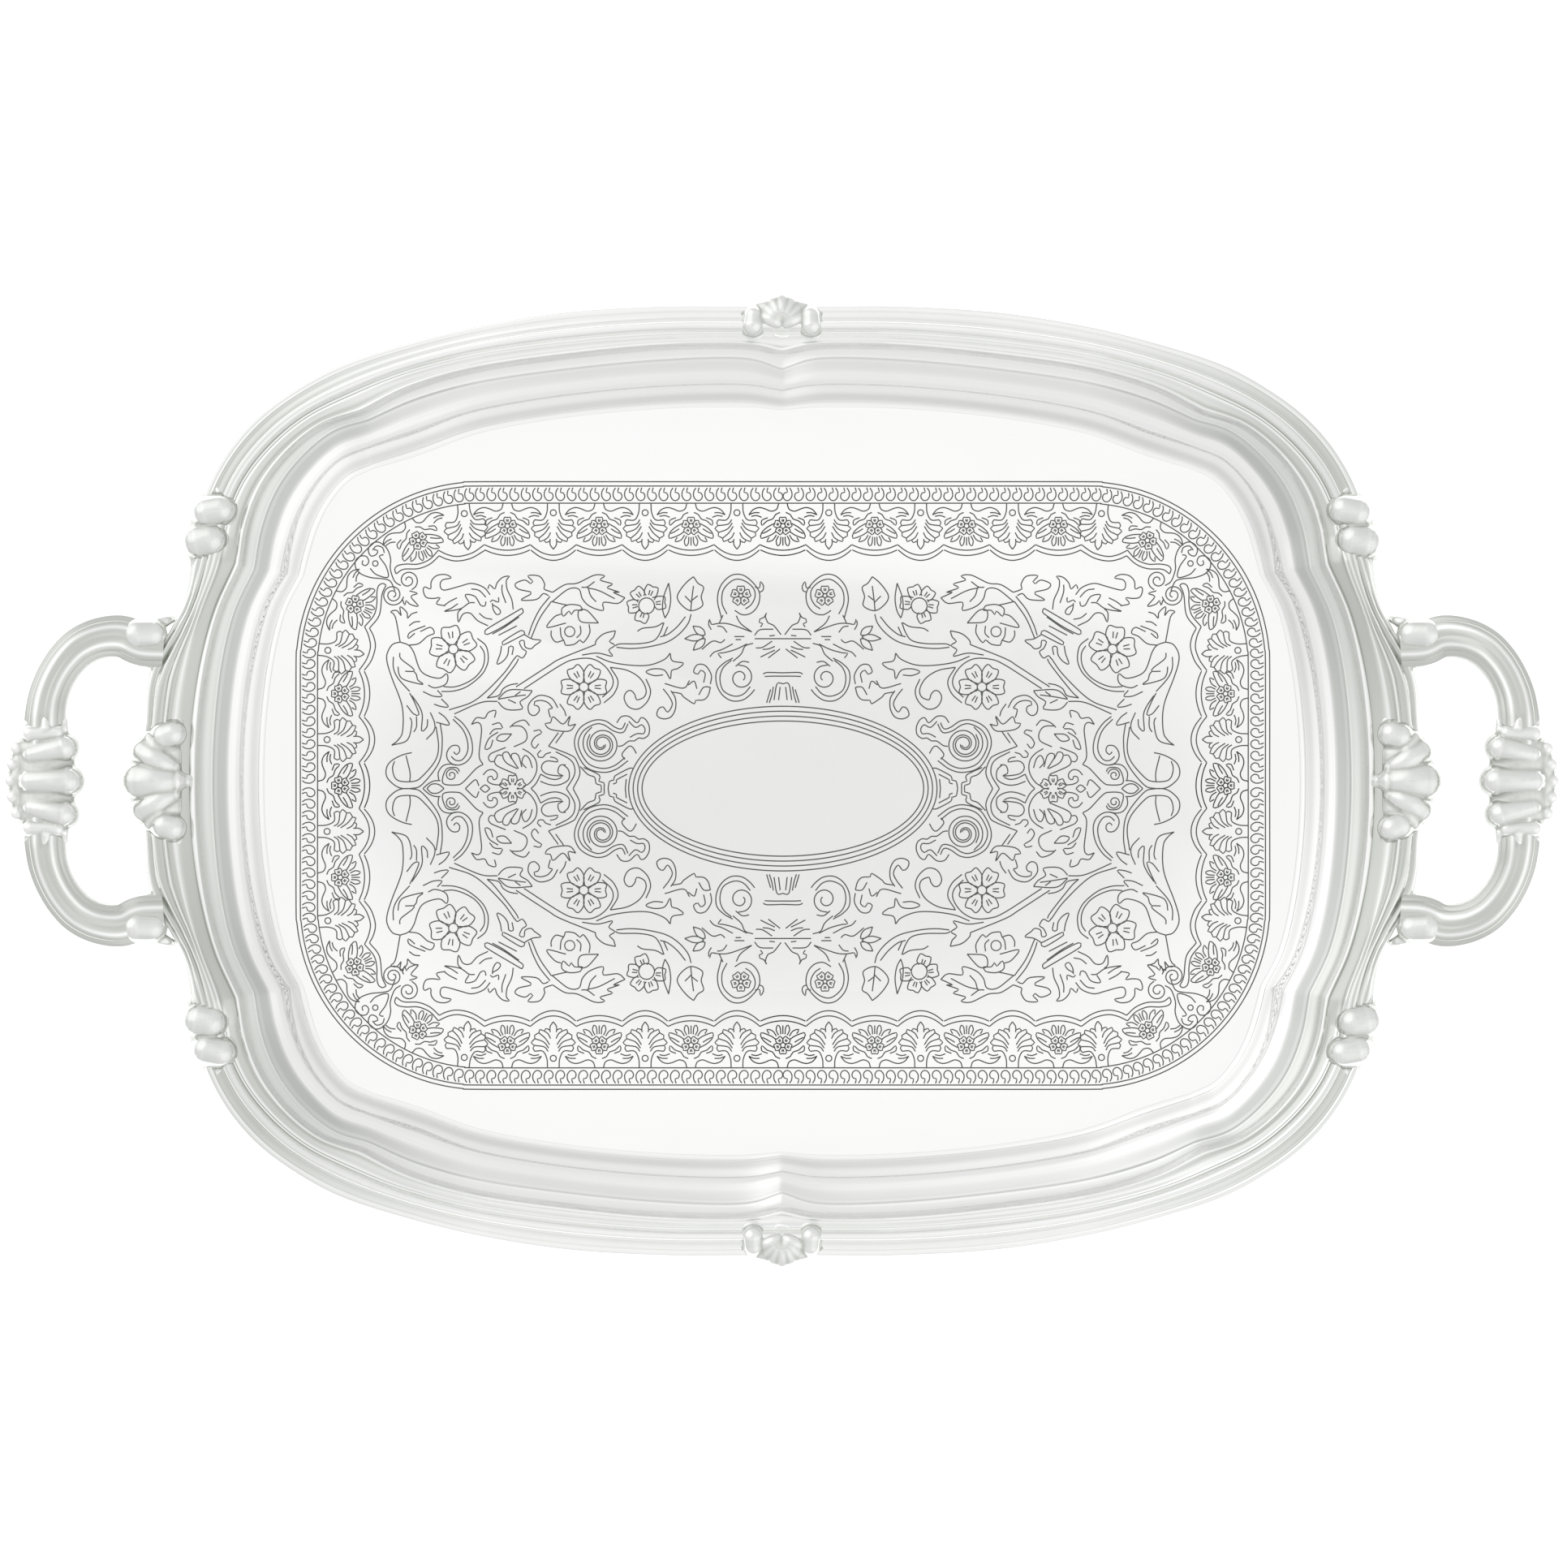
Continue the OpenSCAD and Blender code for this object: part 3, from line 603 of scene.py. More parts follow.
def end_cartouche():
    """The scrolls, shell, lens and small flower along the middle line of the tray's end."""
    return petals((88, ARABESQUE_Y), 4.6, (30, 90, 150), 60, 0.3) + [
        [(107, 21), (104.4, 18.9), (102.3, 15.9), (101.2, 12.5), (101.2, 9), (102.7, 6.5), (105.2, 5.2),
         (107.8, 5.6), (109.3, 7.3), (109.3, 9.5), (107.8, 11.4), (105.7, 11.4), (105.2, 9.7), (106.3, 8.6),
         (107.2, 9.5)],
        [(107.4, 20.1), (104.2, 16.7), (102.7, 12.9), (102.7, 9.5), (104.4, 6.9), (106.5, 6.7), (108, 8)],
        coil((107.9, 1.9), 2.2, 0.5, 170, -1.6),
        [(105.3, 3), (106.2, 4.3), (109.6, 3.8), (110.7, -0.7), (106.2, -1.3), (104, -0.3), (99.9, 4),
         (97.7, 5.3)],
        [(106.4, 5.1), (108.5, 5.5), (110.7, 4.9), (112.2, 2.7), (112, 0.1)],
        [(111.5, 0.1), (113.5, 0), (115.4, -0.9), (117.2, ARABESQUE_Y)],
        [(110.3, ARABESQUE_Y), (112.2, -1.1), (114.4, -1.1), (115.9, ARABESQUE_Y)],
        [(99, -1.6), (100.1, 0.4), (103.4, ARABESQUE_Y)],
        [(95.4, ARABESQUE_Y), (96.9, -1.3), (98.6, ARABESQUE_Y)],
        [(97.6, 1.9), (96.2, 3.4), (94.3, 3.6), (93, 2.3), (93.2, 0.8), (94.3, 0.4), (94.7, 1.5), (96, 1.2),
         (96.2, 0.1), (95, -0.9), (92.4, -1.3), (90.9, -0.7)],
        [(84.8, 10.5), (82.3, 9), (80.5, 6.8), (80.1, 3.8), (81, 1.2), (82.7, -0.9), (84.6, -1.8)],
        [(78.8, 2.3), (80.3, -0.7), (82, ARABESQUE_Y)],
        [(81.6, 4.2), (82.5, 7.1), (84, 8.3), (85, 6), (83.5, 4.2)],
        [(85, 4.5), (86.1, 8.3), (87.6, 9), (88.5, 7.9), (86.1, 4)],
        [(88.3, 7.1), (89.6, 9.4), (91.1, 9), (91.1, 7.5), (89.8, 5.7), (86.5, 4)],
        [(91.5, 8.3), (93, 8.3), (93.5, 5.3), (86.8, 2.1)],
        [(90.2, 10.9), (95.2, 8.8), (95.8, 7.1), (95, 6.2), (94.1, 6.4)],
        [(76.3, 11.3), (69.3, 8.5), (67.3, 6.8), (66.1, 2.4), (68.3, ARABESQUE_Y)],
        [(74, 9.5), (69.9, 7.4), (68.2, 5.6), (67.7, 3.3), (68.2, 1.2), (70.5, ARABESQUE_Y)],
        [(71.4, 5.2), (69.8, 3.6), (69.6, 0.9), (71.1, -0.6), (73.7, -1.4), (76.4, -1.1), (79, -0.1)],
        [(70.7, 5.2), (72.3, 5.2), (73.1, 4.1), (73.1, 2.4), (71.5, 1.6), (76.4, 2.1), (78.4, 3.5),
         (78.4, 5.3), (76.7, 6.5), (73.3, 6.2), (74, 7.4), (75.8, 7.8)],
        [(72, 1.2), (73.7, 0.5), (76.1, 0.8), (78.7, 2.1)],
        [(75.5, 9.3), (77.3, 8.7), (78.1, 7.7), (79.6, 7.8), (79.9, 8.8), (78.7, 10)]]


def medallion_scrolls():
    """The large triple scroll and its bracket, between the medallion and the cartouche."""
    return [
        [(50.4, 6.6), (54.5, 3.7), (59, 2.8), (64.4, 4.8), (67.8, 11.5), (66.4, 16.8), (62, 19.6),
         (58, 19.6), (54.5, 17.4), (52.4, 17), (51.3, 19)],
        [(51.4, 7.6), (55, 4.9), (59, 4.1), (63.6, 5.9), (66.6, 11.5), (65.2, 16), (61.4, 18.4),
         (58.4, 18.3), (55, 16.2), (52, 15.8), (50.4, 18.6)],
        coil((59, 12), 6.4, 0.8, 60, -2.6),
        coil((59, 12), 5, 1.2, 40, -1.6),
        [(54.1, 18.9), (52.6, 20.9), (50.1, 21), (47.5, 18.9), (46.2, 20.6), (44.7, 20), (43.5, 17.7),
         (43.7, 15.1), (45.4, 13.8), (46.9, 14), (48.4, 13), (50.1, 13), (52.2, 11.5), (53.7, 11.3)],
        [(50.2, 19.4), (48, 17.4), (46, 18.3), (44.9, 17), (45.3, 15.4), (47.5, 15.4), (49.8, 14.2)],
        [(47.7, 8.9), (48.8, 10.8), (50.1, 11.3), (52.4, 8.7), (51.4, 7)],
        [(48.8, 4), (50, 4.1), (54.7, 1.6), (55, 0.3), (56.4, -0.1), (56.9, ARABESQUE_Y)],
        [(50.7, 2.2), (54.2, 0.3), (54.2, -0.6), (55.3, -1)],
        [(51, 0.6), (51.3, ARABESQUE_Y)],
        [(58.2, ARABESQUE_Y), (58.3, -0.6), (59.9, -0.1), (59.8, 1.9), (64.9, 4.4)],
        [(59.1, ARABESQUE_Y), (59.2, -1.4), (60.8, -0.9), (61.3, 1.2), (63.5, 2.1), (66, 4.7)]]


def cornucopia():
    """The horn of leaves, its ribbed collar and the calyx below."""
    return [
        [(87.8, 55.8), (88.3, 59.1), (89.8, 62.5), (90, 65.4), (89, 66.6), (91.2, 66.3), (93.1, 64.4),
         (93.8, 62.5), (95.5, 63.9), (96, 62.5)],
        [(91.4, 63.9), (91.4, 61.5), (90.2, 57.9)],
        [(95.3, 60.6), (97.4, 63), (101.3, 64.3), (105.1, 63.4), (110.4, 62.1), (111.6, 63.7),
         (110.9, 65.4), (108, 66.1), (109.9, 67.2), (112.8, 66.8), (114.5, 64.9), (114.7, 62.5),
         (116.6, 63.2), (117.1, 62), (116.2, 59.8), (113.8, 59.4), (111.6, 59.6), (112.8, 57.7),
         (109.9, 57)],
        [(106.1, 59.6), (108.5, 58.4), (110.4, 57)],
        [(105.8, 57.7), (108, 56.2), (110.2, 55.2), (105.1, 56), (102.2, 57.9), (100.3, 58)],
        [(101.5, 62.5), (98.9, 62), (96.7, 59.8)],
        [(102.2, 58.2), (103.4, 60.6), (100.3, 60.1), (98.4, 57.2), (97, 57), (96.7, 58.4)],
        [(92.6, 59.8), (92.6, 58.2), (94.6, 58.9), (95.3, 58.2)],
        [(94.6, 57.9), (94.3, 55.8), (93.1, 54.1), (91.9, 54.8), (92.6, 56.2), (94.6, 57.4)],
        [(96, 50.5), (99.4, 52.2), (101.8, 54.6), (104.2, 54.3), (105.6, 51.7), (105.8, 54.8),
         (104.6, 56)],
        [(94.6, 52.6), (97, 53.1), (98.9, 54.6)],
        [(85, 56.2), (95.5, 50), (97, 48.6), (96.2, 47.7), (90.7, 50.5), (85.9, 53.8), (84.5, 55),
         (85, 56.2)],
        [(85.9, 53.4), (90.7, 50), (94.6, 47.8)],
        [(86.6, 50.5), (92.6, 47.4)],
        [(84, 47.8), (85.2, 49), (91.4, 45.2), (91.2, 44.2), (84, 47.8)],
        [(84.3, 47.7), (81.6, 46.2), (78.8, 45.7), (80.9, 44), (82, 43), (83.9, 43.6), (84.3, 45.7),
         (85.8, 45.3), (84.8, 43), (83.5, 42.1), (84.8, 40), (86.5, 40.8), (87.3, 39.8)],
        [(91.6, 44), (92, 41.5), (93.1, 38.1), (91.2, 38.9), (89.6, 41), (89.2, 43.6), (87.8, 43.6),
         (88.2, 41)]]


def rose_branch():
    """The serrated leaf, the trefoil and the hanging rosebud, on one branch."""
    return [
        [(75, 61.4), (70.9, 63.9), (66.9, 64.4), (61.3, 67), (58, 66.7), (59.5, 65.4), (55.5, 64.1),
         (57.2, 62.9), (53.2, 61.4), (55.2, 61.4), (51.4, 59.6)],
        [(51.4, 59.6), (53.7, 57.8), (58.5, 58.1), (58.5, 55.5), (62.8, 56.8), (65.3, 59.3), (66.4, 62.4),
         (69.9, 62.4), (75.2, 58.3)],
        [(61.3, 64.9), (63.8, 63.1), (65.6, 63.1)],
        [(54.7, 59.3), (59.8, 61.9), (63.8, 62.9)],
        [(60.8, 58.3), (62.6, 60.3), (63.3, 62.6)],
        [(75, 61.4), (77.8, 62.5), (77.5, 63.9), (79.2, 66.6), (83, 66.8), (81.4, 64.9), (82.1, 64.2),
         (84, 65.4), (87.1, 64.2), (86.2, 62.5), (82.1, 61.5), (82.1, 60.8), (85.2, 58.9), (80.2, 59.1),
         (78, 61), (76.3, 60.3)],
        [(75.8, 60.1), (79.2, 55.8), (81.6, 51), (82.8, 47.4)],
        [(75.4, 58.4), (79.2, 52.9), (82.1, 46.2)],
        [(75.4, 58.4), (72, 57.6), (70, 57.2)],
        [(65.3, 55.5), (66, 57), (69.6, 57.4), (72, 56), (71.5, 53.6), (69.6, 55.3), (68.9, 54.1),
         (67.9, 55.5), (65.3, 55.5)],
        [(60, 51.4), (63.8, 55.5), (66.5, 55.3), (65.8, 51.9), (60, 51.4)],
        [(72.2, 54.3), (74.4, 53.4), (76.8, 50), (70.6, 51.4)],
        [(63.1, 51), (62.9, 48.1), (65, 45), (66, 45.9), (67.9, 44.5), (70.8, 44.2), (71.3, 45.7),
         (73.9, 45.2), (75.4, 47.1), (75.4, 49)],
        [(66, 50.5), (65.8, 48.1), (67.2, 46.6)],
        [(72.5, 50), (72.2, 47.1), (71.3, 45.7)],
        ring((69.4, 48.6), 1.7)]


def bud_stem():
    """The stem that carries the ribbed leaf, the open rose and the trumpet bud."""
    strokes = leaf((38.6, 51), (37.2, 64.4), 1.3)
    strokes += petals((44.4, 57.6), 6.6, (110, 50, -10, -70, 175), 62, 0.42) + [ring((44.4, 57), 2.6)]
    return strokes + [
        [(29.1, 66.5), (27.6, 64.3), (25.8, 63), (26.6, 60), (26.2, 57), (29.9, 55.4), (33, 57.3),
         (34.4, 59.8), (33.3, 62.3), (31.2, 64.8), (29.1, 66.5)],
        [(30, 55.6), (29.6, 59.6), (29.1, 63.5)],
        [(29.6, 58.8), (27.7, 60.3)],
        [(29.7, 58), (31.9, 60.2)],
        [(29.9, 54.3), (30.9, 51.2), (33.9, 47.7), (38, 45.1), (44.1, 43.6), (49.6, 43.1), (54.2, 43.5)],
        [(31.7, 53.5), (34.4, 50.2), (37.5, 47.7), (40, 46.9)],
        [(38.7, 51.6), (40, 48.2), (42, 45.7), (46.6, 44.7), (53.2, 44.6), (54.5, 43.9)],
        [(37.5, 50.2), (38.8, 47.3)],
        [(39, 51.5), (41.5, 50.2), (45.6, 49.7), (47.4, 48.7)],
        [(54.5, 48.8), (55.2, 46.7), (56.5, 45.4), (54.7, 44.1), (56.7, 42.6), (55.5, 40.6), (60.3, 41.6),
         (65.4, 41)],
        [(54.5, 48.9), (58.3, 47.9), (60.8, 45.7), (61, 44.4)]]


def tulip_and_scrolls():
    """The tulip, the bud and the two open scrolls near the medallion."""
    return [
        [(36.7, 41.6), (38.5, 39.6), (43.1, 37.8), (48.6, 37.6), (55.7, 38.6), (60.8, 40.6)],
        [(36.7, 41.6), (36, 39.1), (32.4, 38.3), (34.4, 36.5), (36.2, 36), (36.7, 33.2), (38.5, 36),
         (42, 36.5), (44.6, 35.5), (42, 34.3), (39, 34.5)],
        [(56.2, 37), (50.7, 36), (46.6, 33.5), (44.6, 30), (45.1, 27.4), (47.6, 26.4), (48.1, 27.9),
         (49.4, 29.4), (50.9, 29), (51.7, 26.9), (50.2, 24.1), (47.1, 23.4), (44.1, 25.9), (43.1, 29.4),
         (44.6, 33.2)],
        [(39, 30), (37, 27.4), (36, 24.9), (37.5, 22.4), (39, 24.1), (40.5, 23.4), (41, 21.3), (39, 20.2),
         (36.5, 20.8), (35, 23.4), (35, 26.9), (36.5, 29.4)],
        [(23.6, 30.5), (24.3, 27.9), (25.8, 26.4), (28.4, 26.2), (28.9, 25.1), (32.4, 27.4), (33.2, 28.4),
         (36, 28.9)],
        [(23.6, 30.5), (25.8, 30.5), (27.4, 28)],
        [(23.6, 31.5), (23.3, 34.5), (25.3, 37.6), (27.9, 37.8), (29.1, 35.5), (27.6, 34.8), (26.8, 36),
         (25.3, 35), (25.8, 32)],
        [(28, 30), (28.9, 32.5), (30.8, 31.2)],
        [(30.4, 32.7), (32.4, 30.2), (38.5, 31.7)]]


def ring_scrolls():
    """The two ring scrolls beside the tray's middle line, with the leafy bar between them."""
    strokes = flower((13.7, 60.3), 3.4, 5)
    for tip, wide in (((29.3, 50.4), 1.2), ((32, 46.3), 1.1), ((29.2, 42.5), 1.2)):
        strokes += leaf((24.6, 47), tip, wide)
    return strokes + [
        [(20, 53), (21.3, 58.8), (20.3, 63.4), (17.2, 66.7), (13.7, 67.2), (10.6, 65.4), (7.9, 62),
         (7.6, 59), (8.6, 56.3), (10.6, 54.5), (13.2, 54.1), (15.7, 55.5)],
        [(18.2, 54.3), (19.8, 57.8), (19.5, 61.9), (17.2, 64.7), (14.7, 65.7), (11.7, 64.7), (9.4, 62.4),
         (9.1, 59.8), (10.4, 57.3), (12.2, 56)],
        [(9.1, 63.1), (7.6, 62.9), (7.3, 64.9), (6.3, 63.4), (6.6, 61.9), (7.9, 61.4)],
        [(15.2, 53.8), (13.7, 51.2), (10.1, 48.5)],
        [(19.5, 54), (20.7, 51.4)],
        [(10.1, 48.5), (17.2, 51), (20.7, 51.3), (23.3, 51), (23.8, 52.7), (24.2, 51), (23.3, 49.2)],
        [(18.2, 48.3), (19.6, 50.1), (21.4, 50.4)],
        [(18.9, 46.1), (20.2, 45), (22.9, 45.5), (26.4, 42.8)],
        [(12.5, 47), (15.8, 47)],
        [(13.6, 46), (15.4, 46)],
        [(11.7, 44.6), (15.4, 42.8), (19.4, 41.7), (21.1, 41.5), (20, 40)],
        [(16.3, 44.6), (19.8, 42.8), (22.4, 41.9), (23.8, 40.4)],
        [(9.7, 44.8), (12.3, 43.9), (13.6, 41.3), (16.3, 38.9)],
        [(16.3, 40), (19.4, 38.2), (21.6, 35.6), (21.6, 31.6), (19.8, 28.1), (16.7, 26.1), (13.2, 26.3),
         (10.6, 28.1), (9.2, 29.8)],
        [(16.7, 39.3), (19.4, 36.9), (20.5, 33.4), (19.4, 29.4), (15.8, 27.6), (12.8, 28.3), (10.6, 30.7)],
        [(11, 38.6), (13.2, 38.9), (15.4, 37.3)],
        coil((13.8, 33.6), 4.2, 1.2, 80, 1.4)]


def middle_palmette():
    """The palmette and the pedestal under it, on the tray's middle line."""
    return [
        [(0.6, 47.6), (3.1, 50.7), (4.8, 51.4), (5.7, 53.6), (5.3, 54.7), (6.2, 53.2), (7.5, 52.7),
         (7.7, 51.6), (6.6, 51.2), (7.3, 50.1)],
        [(3.1, 49.4), (7.5, 49.2), (9.2, 47.4)],
        [(2.6, 47.4), (4.4, 47.2)],
        [(0, 46.3), (9.2, 46.3)],
        [(3.5, 45.5), (6.6, 43.5), (8.8, 43.3)],
        [(2.6, 43.8), (4.6, 43), (6.6, 42.8)],
        [(0.9, 43), (3.1, 41.3), (4.8, 40)],
        [(2.6, 42.6), (5.3, 41.3), (7.3, 40.3)],
        [(0, 35.2), (5.3, 35.3), (6.4, 34.7)],
        [(0, 34.1), (3.5, 34.1), (5.9, 34)],
        [(0, 31.6), (1.9, 31.6), (2.9, 26.3)],
        [(0.9, 30.6), (1.4, 26.3)],
        [(3.1, 30.7), (3.6, 28), (4.4, 25.4)],
        [(4, 29.8), (5.3, 25.4)]]


OVAL_HALF = np.array((50.2, 26.8))
OVAL_GAP = np.array((1.45, 1.6))
OVAL_POINTS = 73


def oval(half_x, half_y):
    turn = np.linspace(0, 2 * math.pi, OVAL_POINTS)
    return np.stack([half_x * np.cos(turn), ARABESQUE_Y + half_y * np.sin(turn)], axis=1)


def medallion():
    """The plain oval's four lines."""
    return [oval(*(OVAL_HALF - i * OVAL_GAP)) for i in range(4)]


engrave("engraving_scroll_band", running_scroll(), BAND_Y)
engrave("engraving_palmette_band", flowers_and_palmettes(), BAND_Y)
engrave("engraving_arabesque_ends", acanthus_spray() + large_flowers() + leaf_spray() + end_cartouche()
        + medallion_scrolls(), ARABESQUE_Y)
engrave("engraving_arabesque_middle", cornucopia() + rose_branch() + bud_stem() + tulip_and_scrolls()
        + ring_scrolls() + middle_palmette(), ARABESQUE_Y)
engrave("engraving_medallion", medallion(), ARABESQUE_Y, ((1, 1),))

# ---------------------------------------------------------------- border
# The border's upper face, [outwards, height above the flange, tone], from the lip to the outer edge; the
# tone paints highlights on the crests and shade in the grooves and at the lip's foot
RAIL_TOP = [(16, 0, 0.5), (16.0, 0.8, 0.96), (16.2, 1.05, 0.95), (16.6, 1.15, 0.92), (17.2, 1.6, 0.94),
            (18.2, 2.5, 0.94), (19.2, 3.9, 0.94), (19.75, 4.9, 0.94), (19.95, 5.3, 0.95), (20.2, 5.5, 1),
            (20.6, 5.2, 0.96), (20.75, 4.85, 0.8), (21.4, 4.95, 0.9), (22.0, 5.5, 0.92), (22.3, 6.0, 1),
            (22.65, 6.15, 1), (22.8, 5.95, 0.8), (23.05, 6.2, 0.98), (23.4, 6.3, 0.95), (23.6, 6.1, 0.85),
            (23.85, 6.7, 0.95), (24.2, 7.4, 0.97), (24.9, 8.2, 0.97), (25.7, 8.45, 0.94), (26.4, 8.15, 0.94),
            (26.8, 7.6, 0.98), (27.2, 7.0, 0.92), (28.0, 6.3, 0.9), (29.0, 6.0, 0.9), (29.8, 6.1, 0.92),
            (30.0, 6.5, 1), (30.5, 6.75, 0.98), (31.2, 6.75, 0.94), (31.8, 6.3, 0.97), (32.2, 5.4, 0.96),
            (32.2, 3.5, 0.9), (32.0, -2.0, 0.9)]
RAIL_UNDER = [(FLANGE_W, -2), (FLANGE_W, 0), (28.6, 0), (27.8, 3.7), (25.5, 5), (21.5, 3.1), (18.3, 0)]
RAIL_STEP = 0.3
EDGE = 0.02
# The underside's tone, a little darker: painted shade
UNDER_TONE = 0.9
# How much the painted shade darkens the border round the corners and the ends
BORDER_PAINTED_SHADE = 7

# Where one section of the border ends and the next begins, in the back right quarter
SIDE_SHELL_S = 0.93
END_SHELL_S = 1.1
END_RAIL_FROM = RIGHT + END_SHELL_S
CLASP_FROM = RIGHT + 3.85
CLASP_TO = RIGHT + 5.35
SIDE_RAIL_TO = ROUND - SIDE_SHELL_S
SIDE_RAIL_STEP = 0.09
END_RAIL_STEP = 0.02
ORNAMENT_STEP = 0.04

# From this far outwards the ends have a plain swelling face in place of the sides' mouldings
FACE_FROM = 20.9
FACE_HEIGHT = 5.0
FACE_RISE = 0.4
FACE_SWELL = 2.6
# The face's low tone is painted shade
FACE_TONE = 0.1
# The sides' mouldings turn into it under a clasp, between these stations past the end's middle
FACE_STARTS = 4.6
FACE_FULL = 4.0
# The straps over the face, each [station past the end's middle, outwards] from shell to clasp
STRAPS = [[(0.7, 22.3), (2.0, 22.6), (2.9, 22.9), (4.3, 23.6)],
          [(0.7, 25.2), (1.8, 25.4), (2.6, 24.6), (4.3, 24.9)],
          [(0.7, 29.3), (1.7, 28.7), (2.5, 27.0), (3.2, 26.3), (4.3, 26.6)],
          [(0.7, 31.7), (2.0, 31.2), (2.9, 29.2), (4.3, 28.4)],
          [(2.2, 32.4), (2.9, 31.3), (3.5, 30.6), (4.3, 30.2)]]
STRAP_HEIGHT = 0.9
STRAP_HALF = 0.8
STRAP_LINE = 0.38
# Each strap's ridge carries a painted highlight
STRAP_TONE = 0.75
STRAP_FADE = 0.25


def end_face(past_end, across, w):
    """Heights and tones of the ends' swelling face and its straps: painted shade on the face and painted
    highlights along the straps.
    """
    z = FACE_HEIGHT + FACE_SWELL * np.sin(np.pi * across ** 0.8) ** 0.8 + FACE_RISE * across
    tone = np.full((len(past_end), len(w)), FACE_TONE)
    for strap in STRAPS:
        stations, places = np.array(strap).T
        from_middle = w - np.interp(past_end, stations, places)[:, None]
        fade = np.clip((past_end - stations[0]) / STRAP_FADE, 0, 1)[:, None]
        z = z + STRAP_HEIGHT * fade * np.exp(-(from_middle / STRAP_HALF) ** 2)
        tone += STRAP_TONE * fade * np.exp(-(from_middle / STRAP_LINE) ** 2)
    return z, np.minimum(tone, 1)


def border(start, end, step):
    """The border from one station to another, as a solid, with its tones."""
    top = resample(RAIL_TOP, RAIL_STEP)
    w = np.concatenate([top[:, 0], [p[0] for p in RAIL_UNDER]])
    side_z = np.concatenate([top[:, 1], [p[1] for p in RAIL_UNDER]])
    side_tone = np.concatenate([top[:, 2], np.full(len(RAIL_UNDER), UNDER_TONE)])
    across = (w - FACE_FROM) / (OUTER_W - FACE_FROM)
    # The face has no part in the section's outer edge or its underside
    face = (across > 0) & (w < OUTER_W - EDGE) & (np.arange(len(w)) < len(top))
    s = np.linspace(start, end, max(3, round((end - start) / step) + 1))
    past_end = np.abs(s - RIGHT)
    end_share = np.clip((FACE_STARTS - past_end) / (FACE_STARTS - FACE_FULL), 0, 1)[:, None] * face
    end_z, end_tone = end_face(past_end, np.clip(across, 0, 1), w)
    # Painted shade round the corners and the ends
    tone = painted_end_shade(side_tone, s, w, BORDER_PAINTED_SHADE)
    tone = tone + (end_tone - tone) * end_share
    z = side_z + (end_z - side_z) * end_share + FLANGE_Z
    return capped_tube(raised(plan(s, w), z)[::-1]), tone[::-1].ravel()


CORNERS = [("back_left", -1, 1), ("front_left", -1, -1), ("front_right", 1, -1), ("back_right", 1, 1)]


def rails(name, node_name, start, end, step):
    """A plain stretch of the border in each of the four corners."""
    solid, tone = border(start, end, step)
    for corner, x, y in CORNERS:
        make_piece(name + corner, in_corner(*solid, x, y), BORDER_PLATE,
                   [node_name + corner], tone)


# ---------------------------------------------------------------- cast ornaments
CAST_Z = FLANGE_Z + 6.4
LOBE_POINTS = 14
LEAST_R = 0.02
BAR_STEP = 0.6
BAR_SIDES = 28
END_ANGLES = np.radians(np.linspace(4, 90, 7))
# A casting is softened this often, and the measure of its hollows this often
CAST_ROUNDS = 3
HOLLOW_ROUNDS = 5
# Its tone where it is flat, and what its hollows and its steep sides take from that: painted shade in the
# hollows and on the steep sides, and painted highlights on the rounded crests
CAST_TONE = 0.42
HOLLOW_GAIN = 10.0
STEEP_GAIN = 0.4


def sideways_and_up(path):
    """The unit vectors across a path of [x, y, z] and above it, at each of its points."""
    ahead = unit(np.gradient(path, axis=0))
    side = unit(np.cross((0, 0, 1), ahead))
    return side, np.cross(ahead, side)


def swept(path, radii, across=1.0, up=1.0):
    """Rings of a round bar along a path; across and up flatten its section."""
    side, rise = sideways_and_up(path)
    angle = np.linspace(0, 2 * math.pi, BAR_SIDES, endpoint=False)
    section = across * np.cos(angle)[:, None] * side[:, None] + up * np.sin(angle)[:, None] * rise[:, None]
    return path[:, None] + radii[:, None, None] * section


def lobe(start, end, root_r, tip_r, bulge=0.0, across=1.0, up=1.0):
    """A lobe with round ends, from [x, y, z] to [x, y, z], which rises by bulge in its middle."""
    start, end = np.array(start, float), np.array(end, float)
    t = np.linspace(0, 1, LOBE_POINTS)
    path = start + (end - start) * t[:, None] + np.array((0, 0, 4 * bulge)) * (t * (1 - t))[:, None]
    radii = root_r + (tip_r - root_r) * t ** 0.8
    ahead = (end - start) / np.linalg.norm(end - start)
    head = end + tip_r * np.sin(END_ANGLES)[:, None] * ahead
    tail = start - root_r * np.sin(END_ANGLES[::-1])[:, None] * ahead
    radii = np.concatenate([root_r * np.cos(END_ANGLES[::-1]), radii, tip_r * np.cos(END_ANGLES)])
    return swept(np.vstack([tail, path, head]), np.maximum(radii, LEAST_R), across, up)


def ball(centre, radius):
    x, y, z = centre
    return lobe((x - 0.05, y, z), (x + 0.05, y, z), radius, radius)


def fan(hinge, facing, reaches, spread, root_r, tip_r, bulge, drop):
    """Lobes that open like a shell from its hinge, facing in degrees, one for each reach."""
    x, y, z = hinge
    lobes = []
    for i, reach in enumerate(reaches):
        a = math.radians(facing + spread * (i / (len(reaches) - 1) - 0.5))
        tip = (x + (reach - tip_r) * math.cos(a), y + (reach - tip_r) * math.sin(a), z - drop)
        lobes.append(lobe(hinge, tip, root_r, tip_r, bulge))
    return lobes


def bar(points, radius):
    """A round bar, thin at both ends, through a few points."""
    path = resample(points, BAR_STEP)
    share = np.linspace(0, 1, len(path))
    return swept(path, radius * np.sqrt(np.maximum(4 * share * (1 - share), 0.01)))


